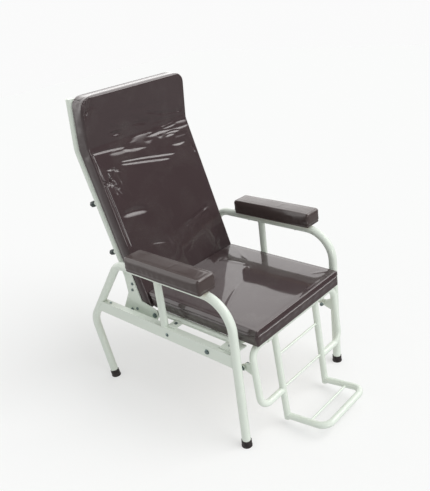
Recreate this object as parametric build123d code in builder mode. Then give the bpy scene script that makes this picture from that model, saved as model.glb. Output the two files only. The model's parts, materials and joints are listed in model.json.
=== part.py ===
from build123d import *
import os
from math import cos, radians, sin, tan

os.makedirs("parts", exist_ok=True)

# ------------------------------------------------------------------ driving dimensions (mm)
# The chair faces -Y, +Z is up, and the origin is on the floor under the middle of its bounding box.
frame_spacing = 600.0          # between the centre lines of the two side frames
depth_shift = -29.0            # moves every station so that the box is centred on the origin

frame_od = 32.0
frame_wall = 1.5
front_leg_y = -260.0 + depth_shift
arm_rail_z = 584.0
arm_rail_rear_y = 304.0 + depth_shift
knee_y = 543.5 + depth_shift
knee_z = 277.0
rear_foot_y = 483.0 + depth_shift
front_bend = 114.0
rear_bend = 77.5
knee_bend = 85.5

post_od = 28.0
post_y = 82.0 + depth_shift
rail_width = 25.0
rail_height = 50.0
rail_bottom_z = 337.0
rail_wall = 2.0

tube_cap = 2.0                 # thickness of the discs that close open tube ends
cap_wall = 3.5
cap_height = 27.0
cap_floor = 5.0

seat_width = 495.0
seat_front_y = -317.0 + depth_shift
seat_bottom_z = 402.0
seat_thickness = 64.0
seat_edge = 7.0
board_thickness = 12.0
board_inset = 15.0
board_gap = 0.3
board_corner = 20.0

seat_tube_od = 22.0
seat_tube_wall = 1.5
seat_tube_x = 247.0
seat_tube_rear_y = 150.0 + depth_shift
seat_front_tube_y = -232.0 + depth_shift
seat_corner = 40.0
corner_leg = 10.0              # straight run beyond each corner of a tube that ends there
seat_cross_size = 20.0
tab_thickness = 5.0
front_tab_length = 72.0
rear_tab_length = 32.0
tab_post_gap = 3.0
rear_cross_y = 75.0 + depth_shift
front_cross_y = -110.0 + depth_shift

pad_inboard = 38.0             # pads' inner side, inboard of the side frames
pad_width = 85.0
pad_front_y = -180.0 + depth_shift
pad_length = 378.0
pad_height = 61.0
pad_edge = 9.0
pad_board_thickness = 10.0
pad_board_inset = 10.0

back_angle = 17.3              # back's lean from upright, degrees
head_turn = 22.5               # head part's turn forward from the back part, degrees
back_pivot_y = 177.0 + depth_shift
back_pivot_z = 381.0
back_width = 515.0
back_face = -21.7              # front face, ahead of the pivot line
back_foot = 22.0               # cushion's lower end above the pivot, along the back
back_length = 663.5            # pivot to the head bend, along the front face
head_length = 187.0
back_thickness = 66.0
back_edge = 9.0
cover_gap = 0.3                # between the back cushion and the tubes behind it
back_corner = 42.0
head_front_bend = 16.0

back_tube_od = 30.0
back_tube_wall = 1.5
back_tube_foot = 88.0          # tube's lower end above the pivot, along the back
back_tube_bend = 90.0
back_top_margin = 12.0         # cushion's top above the back tubes' ends
back_cross_od = 22.0
back_cross_stations = (150.0, 380.0, 600.0)
head_cross_drop = 40.0

plate_thickness = 4.0
plate_gap = 1.0                # between plates and bars that pass each other
plate_stand_off = 1.5          # hinge plates outside the back cushion's sides
plate_bite = 1.0               # depth that a hinge plate reaches into its tube's side
pivot_bolt_r = 5.0
pin_r = 4.0
running_clearance = 0.05
head_gap = 0.3
lug_r = 15.0
bar_r = 11.0

leg_tube_od = 25.0
leg_tube_wall = 1.5
leg_pivot_y = -286.0 + depth_shift
leg_pivot_z = 386.5
leg_tilt = 4.5                 # leg rest's lean forward at its foot, degrees
leg_half_width = 250.0
leg_corner = 45.0
leg_ring_length = 237.0
leg_inner_x = 125.0
leg_inner_length = 364.0
leg_lug_y = -244.0 + depth_shift
leg_lug_z = 302.0
rung_r = 4.5
rung_stations = (94.0, 232.0)
foot_rise = 9.0                # foot loop's slope, degrees
foot_reach = 171.0
foot_corner = 38.0
foot_rung_reach = 98.0
hinge_bar_x = 200.0
saddle_x = 160.0
saddle_width = 24.0
saddle_wall = 2.5

knob_stations = (267.0, 469.0)
knob_r = 12.0
knob_length = 28.0
knob_grips = 6
knob_grip_r = 3.0
screw_r = 4.0
screw_boss_r = 8.0
screw_boss_length = 9.0

bolt_head_r = 7.5
bolt_head_height = 5.0
small_head_r = 6.0
small_head_height = 4.0
rear_bolt_setback = 42.0
pivot_head_r = 10.0
pivot_head_height = 7.0

# ------------------------------------------------------------------ derived
side_x = frame_spacing / 2
rail_mid_z = rail_bottom_z + rail_height / 2
rail_top_z = rail_bottom_z + rail_height
seat_top_z = seat_bottom_z + seat_thickness
cap_od = frame_od + 2 * cap_wall
seat_tube_z = seat_bottom_z - seat_tube_od / 2
seat_joint_y = seat_front_tube_y + seat_corner + corner_leg
pad_bottom_z = arm_rail_z + frame_od / 2
pad_inner_x = side_x - pad_inboard
pad_mid_x = pad_inner_x + pad_width / 2
pad_mid_y = pad_front_y + pad_length / 2
lean = radians(back_angle)
lug_inner_x = seat_tube_x + 2.0
plate_x = back_width / 2 + plate_stand_off
back_tube_x = plate_x + plate_bite - back_tube_od / 2
link_x = plate_x - plate_gap - plate_thickness
leg_lug_x = link_x - 3.5 - plate_thickness
crank_y = back_pivot_y + leg_lug_y - leg_pivot_y
crank_z = back_pivot_z + leg_lug_z - leg_pivot_z
tube_ahead = back_face - back_thickness - cover_gap - back_tube_od / 2
leg_dir_y = -sin(radians(leg_tilt))
leg_dir_z = -cos(radians(leg_tilt))


def back_point(ahead, along):
    """Side-view place of a point given ahead of the pivot line and up along the back."""
    y = back_pivot_y - ahead * cos(lean) + along * sin(lean)
    z = back_pivot_z + ahead * sin(lean) + along * cos(lean)
    return (y, z)


def head_point(ahead, up):
    """Side-view place of a point given ahead of the front face's bend and up the head part."""
    bend_y, bend_z = back_point(back_face, back_length)
    turn = lean - radians(head_turn)
    return (bend_y - ahead * cos(turn) + up * sin(turn), bend_z + ahead * sin(turn) + up * cos(turn))


def leg_point(down, ahead=0.0):
    """Side-view place of a point down the leg rest's plane and ahead of it."""
    y = leg_pivot_y + down * leg_dir_y + ahead * leg_dir_z
    z = leg_pivot_z + down * leg_dir_z - ahead * leg_dir_y
    return (y, z)


def save(builder, label):
    """Name a finished piece and write it out."""
    builder.part.label = label
    export_step(builder.part, "parts/" + label + ".step")


def tube(points, bends, outer, wall, capped=()):
    """Tube along straight runs joined by tangent bends, closed at the named ends; wall 0 is solid."""
    with BuildPart() as piece:
        with BuildLine() as route:
            if bends:
                FilletPolyline(*points, radius=bends)
            else:
                Line(*points)
        with BuildSketch(Plane(origin=route.line @ 0, z_dir=route.line % 0)):
            Circle(outer / 2)
            if wall:
                Circle(outer / 2 - wall, mode=Mode.SUBTRACT)
        sweep(path=route.line)
        for end, inward in ((0, 1), (1, -1)):
            if end in capped:
                with BuildSketch(Plane(origin=route.line @ end, z_dir=(route.line % end) * inward)):
                    Circle(outer / 2)
                extrude(amount=tube_cap)
    return piece.part


def bar_x(y, z, x_start, x_end, radius):
    """Solid round bar along X."""
    with BuildPart() as piece:
        with BuildSketch(Plane.YZ.offset(x_start)):
            with Locations((y, z)):
                Circle(radius)
        extrude(amount=x_end - x_start)
    return piece.part


def plate(points, x_start, thickness):
    """Flat plate in the side view, from x_start outward."""
    with BuildPart() as piece:
        with BuildSketch(Plane.YZ.offset(x_start)):
            Polygon(*points, align=None)
        extrude(amount=thickness)
    return piece.part


def save_pair(piece, label):
    """Write a piece of the left side and its mirror image on the right."""
    with BuildPart() as left:
        add(piece)
    save(left, label + "_left")
    with BuildPart() as right:
        add(mirror(piece, about=Plane.YZ))
    save(right, label + "_right")


def save_both(piece, label):
    """Write a piece of the left side and its mirror image together, as one node."""
    with BuildPart() as both:
        add(piece)
        add(mirror(piece, about=Plane.YZ))
    save(both, label)


# ------------------------------------------------------------------ side frames
below_floor = -60.0
foot_slope = (knee_y - rear_foot_y) / knee_z
frame_route = [
    (side_x, front_leg_y, below_floor),
    (side_x, front_leg_y, arm_rail_z),
    (side_x, arm_rail_rear_y, arm_rail_z),
    (side_x, knee_y, knee_z),
    (side_x, rear_foot_y + below_floor * foot_slope, below_floor),
]
frame_bends = [front_bend, rear_bend, knee_bend]
side_solid = tube(frame_route, frame_bends, frame_od, 0)

with BuildPart() as side_frame:
    add(tube(frame_route, frame_bends, frame_od, frame_wall))
    with Locations((side_x, 0, cap_floor)):
        Box(frame_od * 2, 2000, 200, align=(Align.CENTER, Align.CENTER, Align.MAX), mode=Mode.SUBTRACT)
save_pair(side_frame.part, "side_frame")

rear_run = (side_x, rear_foot_y + cap_height * 2 * foot_slope, cap_height * 2)
for cap_name, low, high in (
    ("front", (side_x, front_leg_y, below_floor), (side_x, front_leg_y, cap_height)),
    ("rear", frame_route[4], rear_run),
):
    with BuildPart() as foot_cap:
        add(tube([low, high], [], cap_od, 0))
        add(side_solid, mode=Mode.SUBTRACT)
        with Locations((side_x, 0, cap_height)):
            Box(cap_od * 3, 2000, 200, align=(Align.CENTER, Align.CENTER, Align.MIN), mode=Mode.SUBTRACT)
        with BuildSketch(Plane.XY):
            with Locations((low[0], high[1] + (low[1] - high[1]) * high[2] / (high[2] - low[2]))):
                Circle(cap_od / 2 - 1.0)
        extrude(amount=cap_floor)
        with Locations((side_x, 0, 0)):
            Box(cap_od * 3, 2000, 200, align=(Align.CENTER, Align.CENTER, Align.MAX), mode=Mode.SUBTRACT)
    save_pair(foot_cap.part, "foot_cap_" + cap_name)

# ------------------------------------------------------------------ arm posts and side rails
with BuildPart() as arm_post:
    add(tube([(side_x, post_y, rail_top_z), (side_x, post_y, arm_rail_z)], [], post_od, frame_wall))
    add(side_solid, mode=Mode.SUBTRACT)
save_pair(arm_post.part, "arm_post")

rail_slope = (knee_y - arm_rail_rear_y) / (arm_rail_z - knee_z)


def rear_run_y(z):
    """Station of the side frame's rear slope at a height."""
    return arm_rail_rear_y + (arm_rail_z - z) * rail_slope


rail_rear_y = rear_run_y(rail_bottom_z)
with BuildPart() as side_rail:
    with BuildSketch(Plane.XZ.offset(-front_leg_y)):
        with Locations((side_x, rail_mid_z)):
            Rectangle(rail_width, rail_height)
            Rectangle(rail_width - 2 * rail_wall, rail_height - 2 * rail_wall, mode=Mode.SUBTRACT)
    extrude(amount=-(rail_rear_y - front_leg_y))
    with BuildSketch(Plane.YZ.offset(side_x - rail_width)):
        Polygon((rear_run_y(rail_top_z), rail_top_z), (rail_rear_y, rail_bottom_z),
                (rail_rear_y + rail_height, rail_bottom_z), (rail_rear_y + rail_height, rail_top_z),
                align=None)
    extrude(amount=2 * rail_width, mode=Mode.SUBTRACT)
    add(side_solid, mode=Mode.SUBTRACT)
save_pair(side_rail.part, "side_rail")

# ------------------------------------------------------------------ seat frame
with BuildPart() as seat_side:
    add(tube([(seat_tube_x, seat_joint_y, seat_tube_z),
              (seat_tube_x, seat_tube_rear_y, seat_tube_z)], [], seat_tube_od, seat_tube_wall))
    with BuildSketch(Plane.YZ.offset(lug_inner_x)):
        with BuildLine():
            Polyline((seat_tube_rear_y - 30, seat_tube_z - 9), (back_pivot_y, back_pivot_z - lug_r))
            RadiusArc((back_pivot_y, back_pivot_z - lug_r), (back_pivot_y, back_pivot_z + lug_r), -lug_r)
            Polyline((back_pivot_y, back_pivot_z + lug_r), (seat_tube_rear_y - 30, seat_tube_z + 9),
                     (seat_tube_rear_y - 30, seat_tube_z - 9))
        make_face()
        with Locations((back_pivot_y, back_pivot_z)):
            Circle(pivot_bolt_r, mode=Mode.SUBTRACT)
    extrude(amount=plate_thickness)
save_pair(seat_side.part, "seat_tube")

with BuildPart() as seat_front:
    add(tube([(-seat_tube_x, seat_joint_y, seat_tube_z),
              (-seat_tube_x, seat_front_tube_y, seat_tube_z),
              (seat_tube_x, seat_front_tube_y, seat_tube_z),
              (seat_tube_x, seat_joint_y, seat_tube_z)],
             [seat_corner, seat_corner], seat_tube_od, seat_tube_wall))
save(seat_front, "seat_front_tube")

seat_front_solid = tube([(seat_tube_x, seat_tube_rear_y, seat_tube_z),
                         (seat_tube_x, seat_front_tube_y, seat_tube_z),
                         (0, seat_front_tube_y, seat_tube_z)], [seat_corner], seat_tube_od, 0)
with BuildPart() as seat_tabs:
    for tab_rear_y, tab_length in (
        (front_leg_y + front_tab_length, front_tab_length),
        (post_y - post_od / 2 - tab_post_gap, rear_tab_length),
    ):
        with Locations((side_x, tab_rear_y, rail_top_z)):
            Box(side_x - seat_tube_x + 5, tab_length, tab_thickness,
                align=(Align.MAX, Align.MAX, Align.MIN))
    add(side_solid, mode=Mode.SUBTRACT)
    add(seat_front_solid, mode=Mode.SUBTRACT)
save_both(seat_tabs.part, "seat_tabs")

for cross_name, cross_y, cross_z, half_span in (
    ("rear", rear_cross_y, seat_tube_z - (seat_tube_od + seat_cross_size) / 2, side_x - rail_width / 2),
    ("front", front_cross_y, seat_tube_z, seat_tube_x),
):
    with BuildPart() as seat_cross:
        with BuildSketch(Plane.YZ.offset(-half_span)):
            with Locations((cross_y, cross_z)):
                Rectangle(seat_cross_size, seat_cross_size)
                Rectangle(seat_cross_size - 2 * seat_tube_wall, seat_cross_size - 2 * seat_tube_wall,
                          mode=Mode.SUBTRACT)
        extrude(amount=2 * half_span)
        add(seat_front_solid, mode=Mode.SUBTRACT)
        add(mirror(seat_front_solid, about=Plane.YZ), mode=Mode.SUBTRACT)
    save(seat_cross, "seat_cross_" + cross_name)

leg_bar_r = leg_tube_od / 2
saddle_r = leg_bar_r + running_clearance
with BuildPart() as saddle:
    with BuildSketch(Plane.YZ.offset(saddle_x - saddle_width / 2)):
        with Locations((leg_pivot_y, leg_pivot_z)):
            Circle(saddle_r + saddle_wall)
        with Locations(((leg_pivot_y + seat_front_tube_y) / 2, seat_tube_z - 2)):
            Rectangle(seat_front_tube_y - leg_pivot_y, 8)
        with Locations((leg_pivot_y, leg_pivot_z)):
            Circle(saddle_r, mode=Mode.SUBTRACT)
        with Locations((seat_front_tube_y, seat_tube_z)):
            Circle(seat_tube_od / 2, mode=Mode.SUBTRACT)
    extrude(amount=saddle_width)
save_pair(saddle.part, "leg_hinge_saddle")

# ------------------------------------------------------------------ seat board and cushion
seat_rear_gap = 5.0
rear_low = back_point(back_face + seat_rear_gap, (seat_bottom_z - back_pivot_z) / cos(lean))
rear_high = back_point(back_face + seat_rear_gap, (seat_top_z - back_pivot_z) / cos(lean))
board_front_y = seat_front_y + board_inset
board_rear_y = rear_low[0] - board_inset
board_width = seat_width - 2 * board_inset
board_mid = (0, (board_front_y + board_rear_y) / 2)
board_length = board_rear_y - board_front_y

with BuildPart() as seat_board:
    with BuildSketch(Plane.XY.offset(seat_bottom_z)):
        with Locations(board_mid):
            RectangleRounded(board_width, board_length, board_corner)
    extrude(amount=board_thickness)
save(seat_board, "seat_board")

with BuildPart() as seat_cushion:
    with BuildSketch(Plane.YZ.offset(-seat_width / 2)):
        Polygon((seat_front_y, seat_bottom_z), (rear_low[0], seat_bottom_z), (rear_high[0], seat_top_z),
                (seat_front_y, seat_top_z), align=None)
    extrude(amount=seat_width)
    fillet(seat_cushion.edges(), radius=seat_edge)
    with BuildSketch(Plane.XY.offset(seat_bottom_z)):
        with Locations(board_mid):
            RectangleRounded(board_width + 2 * board_gap, board_length + 2 * board_gap,
                             board_corner + board_gap)
    extrude(amount=board_thickness + board_gap, mode=Mode.SUBTRACT)
save(seat_cushion, "seat_cushion")

# ------------------------------------------------------------------ arm pads
pad_board_width = pad_width - 2 * pad_board_inset
pad_board_length = pad_length - 2 * pad_board_inset
with BuildPart() as pad_board:
    with Locations((pad_mid_x, pad_mid_y, pad_bottom_z)):
        Box(pad_board_width, pad_board_length, pad_board_thickness,
            align=(Align.CENTER, Align.CENTER, Align.MIN))
save_pair(pad_board.part, "arm_pad_board")

with BuildPart() as arm_pad:
    with Locations((pad_mid_x, pad_mid_y, pad_bottom_z)):
        Box(pad_width, pad_length, pad_height, align=(Align.CENTER, Align.CENTER, Align.MIN))
    fillet(arm_pad.edges(), radius=pad_edge)
    with Locations((pad_mid_x, pad_mid_y, pad_bottom_z)):
        Box(pad_board_width + 2 * board_gap, pad_board_length + 2 * board_gap,
            pad_board_thickness + board_gap, align=(Align.CENTER, Align.CENTER, Align.MIN),
            mode=Mode.SUBTRACT)
save_pair(arm_pad.part, "arm_pad")

# ------------------------------------------------------------------ back frame tubes
head_half_turn = radians(head_turn) / 2
bend_drop = (back_face - tube_ahead) * tan(head_half_turn)
tube_low = back_point(tube_ahead, back_tube_foot)
tube_bend = back_point(tube_ahead, back_length + bend_drop)
tube_top = head_point(tube_ahead - back_face, head_length - back_top_margin)

with BuildPart() as back_tube:
    add(tube([(back_tube_x, *tube_low), (back_tube_x, *tube_bend), (back_tube_x, *tube_top)],
             [back_tube_bend], back_tube_od, back_tube_wall, capped=(0, 1)))
save_pair(back_tube.part, "back_tube")

back_tube_solid = tube([(back_tube_x, *back_point(tube_ahead, 0)), (back_tube_x, *tube_bend),
                        (back_tube_x, *tube_top)], [back_tube_bend], back_tube_od, 0)
cross_ahead = back_face - back_thickness - cover_gap - back_cross_od / 2
cross_places = {
    "lower": back_point(cross_ahead, back_cross_stations[0]),
    "middle": back_point(cross_ahead, back_cross_stations[1]),
    "upper": back_point(cross_ahead, back_cross_stations[2]),
    "head": head_point(cross_ahead - back_face, head_length - back_top_margin - head_cross_drop),
}
for cross_name, (cross_y, cross_z) in cross_places.items():
    with BuildPart() as back_cross:
        add(tube([(-back_tube_x, cross_y, cross_z), (back_tube_x, cross_y, cross_z)],
                 [], back_cross_od, back_tube_wall))
        add(back_tube_solid, mode=Mode.SUBTRACT)
        add(mirror(back_tube_solid, about=Plane.YZ), mode=Mode.SUBTRACT)
    save(back_cross, "back_cross_" + cross_name)

# ------------------------------------------------------------------ hinge plates and crank tips
plate_outline = [
    (crank_y - bar_r, crank_z),
    (back_pivot_y - lug_r + 2, back_pivot_z - 10),
    (back_pivot_y - lug_r + 1, back_pivot_z + 12),
    (back_pivot_y - 6, back_pivot_z + 27),
    (back_pivot_y + 70, back_pivot_z + 40),
    (back_pivot_y + 99, back_pivot_z + 137),
    (back_pivot_y + 112, back_pivot_z + 176),
    (back_pivot_y + 150, back_pivot_z + 164),
    (back_pivot_y + 144, back_pivot_z + 58),
    (back_pivot_y + 190, back_pivot_z - 22),
    (crank_y + bar_r, crank_z),
]
with BuildPart() as hinge_plate:
    add(plate(plate_outline, plate_x, plate_thickness))
    add(bar_x(crank_y, crank_z, plate_x, plate_x + plate_thickness, bar_r))
    add(back_tube_solid, mode=Mode.SUBTRACT)
    add(bar_x(back_pivot_y, back_pivot_z, plate_x, plate_x + plate_thickness,
              pivot_bolt_r + running_clearance), mode=Mode.SUBTRACT)
    add(bar_x(crank_y, crank_z, plate_x, plate_x + plate_thickness, pin_r), mode=Mode.SUBTRACT)
save_pair(hinge_plate.part, "hinge_plate")

plate_outer_x = plate_x + plate_thickness
with BuildPart() as pivot_bolt:
    add(bar_x(back_pivot_y, back_pivot_z, lug_inner_x - 8, lug_inner_x, bolt_head_r))
    add(bar_x(back_pivot_y, back_pivot_z, lug_inner_x, plate_outer_x + head_gap, pivot_bolt_r))
    add(bar_x(back_pivot_y, back_pivot_z, lug_inner_x + plate_thickness, plate_x - head_gap, 9.0))
    add(bar_x(back_pivot_y, back_pivot_z, plate_outer_x + head_gap,
              plate_outer_x + head_gap + pivot_head_height, pivot_head_r))
save_both(pivot_bolt.part, "back_pivot_bolts")

with BuildPart() as crank_pin:
    add(bar_x(crank_y, crank_z, link_x - head_gap - 3, plate_outer_x, pin_r))
    add(bar_x(crank_y, crank_z, link_x - head_gap - 3, link_x - head_gap, bolt_head_r))
    add(bar_x(crank_y, crank_z, plate_outer_x, plate_outer_x + 4, bolt_head_r))
save_both(crank_pin.part, "crank_pins")

plate_bolt_places = ((106, 108), (112, 80), (137, -13), (104, -2))
with BuildPart() as plate_bolts:
    for bolt_ahead, bolt_up in plate_bolt_places:
        add(bar_x(back_pivot_y + bolt_ahead, back_pivot_z + bolt_up, plate_outer_x,
                  plate_outer_x + small_head_height, small_head_r))
save_both(plate_bolts.part, "plate_bolts")

# ------------------------------------------------------------------ back boards and cushion
rear_bend_r = back_tube_bend - back_tube_od / 2
cushion_low = (back_point(back_face, back_foot), back_point(back_face - back_thickness, back_foot))
cushion_rear_bend = back_point(back_face - back_thickness,
                               back_length + back_thickness * tan(head_half_turn))
cushion_top = (head_point(0, head_length), head_point(-back_thickness, head_length))
back_frame_plane = Plane(origin=(0, *back_point(back_face - back_thickness, 0)), x_dir=(1, 0, 0),
                         z_dir=(0, -cos(lean), sin(lean)))
head_lean = lean - radians(head_turn)
head_plane = Plane(origin=(0, *head_point(-back_thickness, 0)), x_dir=(1, 0, 0),
                   z_dir=(0, -cos(head_lean), sin(head_lean)))
bend_reach = back_tube_bend * tan(head_half_turn) + 12.0
back_board_low = back_foot + board_inset
back_board_high = back_length + bend_drop - bend_reach
head_board_low = bend_reach
head_board_high = head_length - 20.0
back_board_width = back_width - 2 * board_inset


def board_on(plane, low, high, grow, corner):
    """Back board on the cushion's rear plane, grown all round by a clearance."""
    with BuildPart() as piece:
        with BuildSketch(plane):
            with Locations((0, (low + high) / 2)):
                RectangleRounded(back_board_width + 2 * grow, high - low + 2 * grow, corner + grow)
        extrude(amount=board_thickness + grow)
    return piece.part


with BuildPart() as back_board:
    add(board_on(back_frame_plane, back_board_low, back_board_high, 0, 12.0))
save(back_board, "back_board")

with BuildPart() as head_board:
    add(board_on(head_plane, head_board_low, head_board_high, 0, 12.0))
save(head_board, "head_board")

with BuildPart() as back_cushion:
    with BuildSketch(Plane.YZ.offset(-back_width / 2)) as profile:
        with BuildLine():
            FilletPolyline(cushion_low[0], back_point(back_face, back_length), cushion_top[0],
                           radius=head_front_bend)
            Line(cushion_top[0], cushion_top[1])
            FilletPolyline(cushion_top[1], cushion_rear_bend, cushion_low[1], radius=rear_bend_r)
            Line(cushion_low[1], cushion_low[0])
        make_face()
    extrude(amount=back_width)
    bend_z = back_point(0, back_length)[1]
    thickness_edges = [e for e in back_cushion.edges().filter_by(lambda e: e.geom_type == GeomType.LINE)
                       if abs(e.length - back_thickness) < 0.1 and e.center().Z > bend_z]
    fillet(thickness_edges, radius=back_corner)
    corner_z = head_point(0, head_length - back_corner)[1]
    front_faces = [f for f in back_cushion.faces() if f.normal_at(f.center()).Y < -0.5]
    rim = [e for f in front_faces for e in f.edges()
           if abs(e.center().X) > back_width / 2 - back_corner or e.center().Z > corner_z]
    fillet(rim, radius=back_edge)
    add(board_on(back_frame_plane, back_board_low, back_board_high, board_gap, 12.0), mode=Mode.SUBTRACT)
    add(board_on(head_plane, head_board_low, head_board_high, board_gap, 12.0), mode=Mode.SUBTRACT)
save(back_cushion, "back_cushion")

# ------------------------------------------------------------------ clamp knobs behind the right tube
def knob_part(station, start, end, radius):
    """Round bar square to the back, from start to end behind the tube's centre line."""
    near = back_point(tube_ahead - start, station)
    far = back_point(tube_ahead - end, station)
    return tube([(-back_tube_x, *near), (-back_tube_x, *far)], [], 2 * radius, 0)


boss_end = back_tube_od / 2 + screw_boss_length
knob_start = boss_end + head_gap
knob_end = knob_start + knob_length
with BuildPart() as knob_bosses:
    for station in knob_stations:
        add(knob_part(station, 0, boss_end, screw_boss_r))
    add(mirror(back_tube_solid, about=Plane.YZ), mode=Mode.SUBTRACT)
    for station in knob_stations:
        add(knob_part(station, 0, boss_end, screw_r + running_clearance), mode=Mode.SUBTRACT)
save(knob_bosses, "knob_bosses")

for knob_name, station in zip(("lower", "upper"), knob_stations):
    face_y, face_z = back_point(tube_ahead - knob_start, station)
    with BuildPart() as clamp_knob:
        add(knob_part(station, back_tube_od / 2 + 1.0, knob_start, screw_r))
        add(knob_part(station, knob_start, knob_end, knob_r))
        with BuildSketch(Plane(origin=(-back_tube_x, face_y, face_z), x_dir=(1, 0, 0),
                               z_dir=(0, cos(lean), -sin(lean)))):
            with PolarLocations(knob_r + 1.0, knob_grips):
                Circle(knob_grip_r)
        extrude(amount=knob_length, mode=Mode.SUBTRACT)
    save(clamp_knob, "clamp_knob_" + knob_name)

# ------------------------------------------------------------------ leg rest
def leg_space(x, down, ahead=0.0):
    """Place on the leg rest, at x across, down its plane and ahead of it."""
    return (x, *leg_point(down, ahead))


with BuildPart() as hinge_bar:
    add(tube([(-hinge_bar_x, leg_pivot_y, leg_pivot_z), (hinge_bar_x, leg_pivot_y, leg_pivot_z)],
             [], leg_tube_od, leg_tube_wall))
save(hinge_bar, "leg_hinge_bar")

inner_solid = tube([leg_space(leg_inner_x, 0), leg_space(leg_inner_x, leg_inner_length + 40)],
                   [], leg_tube_od, 0)
bar_solid = bar_x(leg_pivot_y, leg_pivot_z, -hinge_bar_x, hinge_bar_x, leg_tube_od / 2)
with BuildPart() as leg_side:
    add(tube([leg_space(hinge_bar_x, 0), leg_space(leg_half_width, 0),
              leg_space(leg_half_width, leg_ring_length), leg_space(leg_inner_x, leg_ring_length)],
             [leg_corner, leg_corner], leg_tube_od, leg_tube_wall))
    add(inner_solid, mode=Mode.SUBTRACT)
save_pair(leg_side.part, "leg_side_tube")

with BuildPart() as leg_inner:
    add(tube([leg_space(leg_inner_x, 0), leg_space(leg_inner_x, leg_inner_length)], [],
             leg_tube_od, leg_tube_wall))
    add(bar_solid, mode=Mode.SUBTRACT)
save_pair(leg_inner.part, "leg_inner_tube")

rise = radians(foot_rise)
loop_start_y, loop_start_z = leg_point(leg_inner_length - leg_tube_od / 2)


def loop_space(x, ahead):
    """Place on the foot loop, at x across and ahead along its slope."""
    return (x, loop_start_y - ahead * cos(rise), loop_start_z + ahead * sin(rise))


with BuildPart() as foot_loop:
    add(tube([loop_space(-leg_inner_x, 0), loop_space(-leg_inner_x, foot_reach),
              loop_space(leg_inner_x, foot_reach), loop_space(leg_inner_x, 0)],
             [foot_corner, foot_corner], leg_tube_od, leg_tube_wall))
    add(inner_solid, mode=Mode.SUBTRACT)
    add(mirror(inner_solid, about=Plane.YZ), mode=Mode.SUBTRACT)
save(foot_loop, "foot_loop")

for rung_name, down in zip(("upper", "lower"), rung_stations):
    rung_y, rung_z = leg_point(down)
    with BuildPart() as rung:
        add(bar_x(rung_y, rung_z, -leg_inner_x, leg_inner_x, rung_r))
        add(inner_solid, mode=Mode.SUBTRACT)
        add(mirror(inner_solid, about=Plane.YZ), mode=Mode.SUBTRACT)
    save(rung, "leg_rung_" + rung_name)

_, foot_rung_y, foot_rung_z = loop_space(0, foot_rung_reach)
loop_solid = tube([loop_space(leg_inner_x, 0), loop_space(leg_inner_x, foot_reach)], [], leg_tube_od, 0)
with BuildPart() as foot_rung:
    add(bar_x(foot_rung_y, foot_rung_z, -leg_inner_x, leg_inner_x, rung_r))
    add(loop_solid, mode=Mode.SUBTRACT)
    add(mirror(loop_solid, about=Plane.YZ), mode=Mode.SUBTRACT)
save(foot_rung, "leg_rung_foot")

# ------------------------------------------------------------------ leg-rest lugs, pins and coupling bars
ring_solid = tube([leg_space(leg_half_width, 0), leg_space(leg_half_width, leg_ring_length)],
                  [], leg_tube_od, 0)
lug_top = leg_point(50)
lug_foot = leg_point(112)
with BuildPart() as leg_lug:
    add(plate([lug_top, (leg_lug_y + bar_r, leg_lug_z + 4), (leg_lug_y + bar_r, leg_lug_z),
               (leg_lug_y, leg_lug_z - bar_r), lug_foot], leg_lug_x, plate_thickness))
    add(bar_x(leg_lug_y, leg_lug_z, leg_lug_x, leg_lug_x + plate_thickness, bar_r))
    add(ring_solid, mode=Mode.SUBTRACT)
    add(bar_x(leg_lug_y, leg_lug_z, leg_lug_x, leg_lug_x + plate_thickness, pin_r), mode=Mode.SUBTRACT)
save_pair(leg_lug.part, "leg_lug")

link_outer_x = link_x + plate_thickness
with BuildPart() as link_pin:
    add(bar_x(leg_lug_y, leg_lug_z, leg_lug_x - 20, link_outer_x + head_gap + 6, pin_r))
    add(bar_x(leg_lug_y, leg_lug_z, leg_lug_x - 20, leg_lug_x - 12, bolt_head_r))
    add(bar_x(leg_lug_y, leg_lug_z, link_outer_x + head_gap, link_outer_x + head_gap + 6, bolt_head_r + 1))
save_both(link_pin.part, "link_pins")

with BuildPart() as link_spacer:
    add(bar_x(leg_lug_y, leg_lug_z, leg_lug_x - 12, leg_lug_x, bolt_head_r))
    add(bar_x(leg_lug_y, leg_lug_z, leg_lug_x + plate_thickness, link_x - head_gap, bolt_head_r))
    add(bar_x(leg_lug_y, leg_lug_z, leg_lug_x - 20, link_x, pin_r), mode=Mode.SUBTRACT)
save_both(link_spacer.part, "link_spacers")

with BuildPart() as link_bar:
    add(plate([(leg_lug_y, leg_lug_z - bar_r), (crank_y, crank_z - bar_r), (crank_y, crank_z + bar_r),
               (leg_lug_y, leg_lug_z + bar_r)], link_x, plate_thickness))
    for end_y, end_z in ((leg_lug_y, leg_lug_z), (crank_y, crank_z)):
        add(bar_x(end_y, end_z, link_x, link_x + plate_thickness, bar_r))
    for end_y, end_z in ((leg_lug_y, leg_lug_z), (crank_y, crank_z)):
        add(bar_x(end_y, end_z, link_x, link_x + plate_thickness, pin_r + running_clearance),
            mode=Mode.SUBTRACT)
save_pair(link_bar.part, "link_bar")

# ------------------------------------------------------------------ rail bolts
rail_outer_x = side_x + rail_width / 2
rear_bolt_y = rear_cross_y - 12.0
front_bolt_y = -138.0 + depth_shift
with BuildPart() as rail_bolts:
    add(bar_x(rear_bolt_y, rail_mid_z - 2, rail_outer_x, rail_outer_x + 4, 6.0))
    add(bar_x(front_bolt_y, rail_mid_z - 1, rail_outer_x, rail_outer_x + bolt_head_height, bolt_head_r + 2))
    with BuildSketch(Plane.XY.offset(rail_top_z)):
        with Locations((side_x, rear_run_y(rail_top_z) - rear_bolt_setback)):
            Circle(small_head_r - 1)
    extrude(amount=small_head_height)
save_both(rail_bolts.part, "rail_bolts")
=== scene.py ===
"""Patient recliner: upholstery, fixings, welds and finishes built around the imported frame."""

import json
import logging
import math
from dataclasses import dataclass, field
from enum import Enum
from typing import Callable, Dict, List, Optional, Sequence, Tuple

import bmesh
import bpy
import numpy as np
from mathutils import Matrix, Vector


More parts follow.
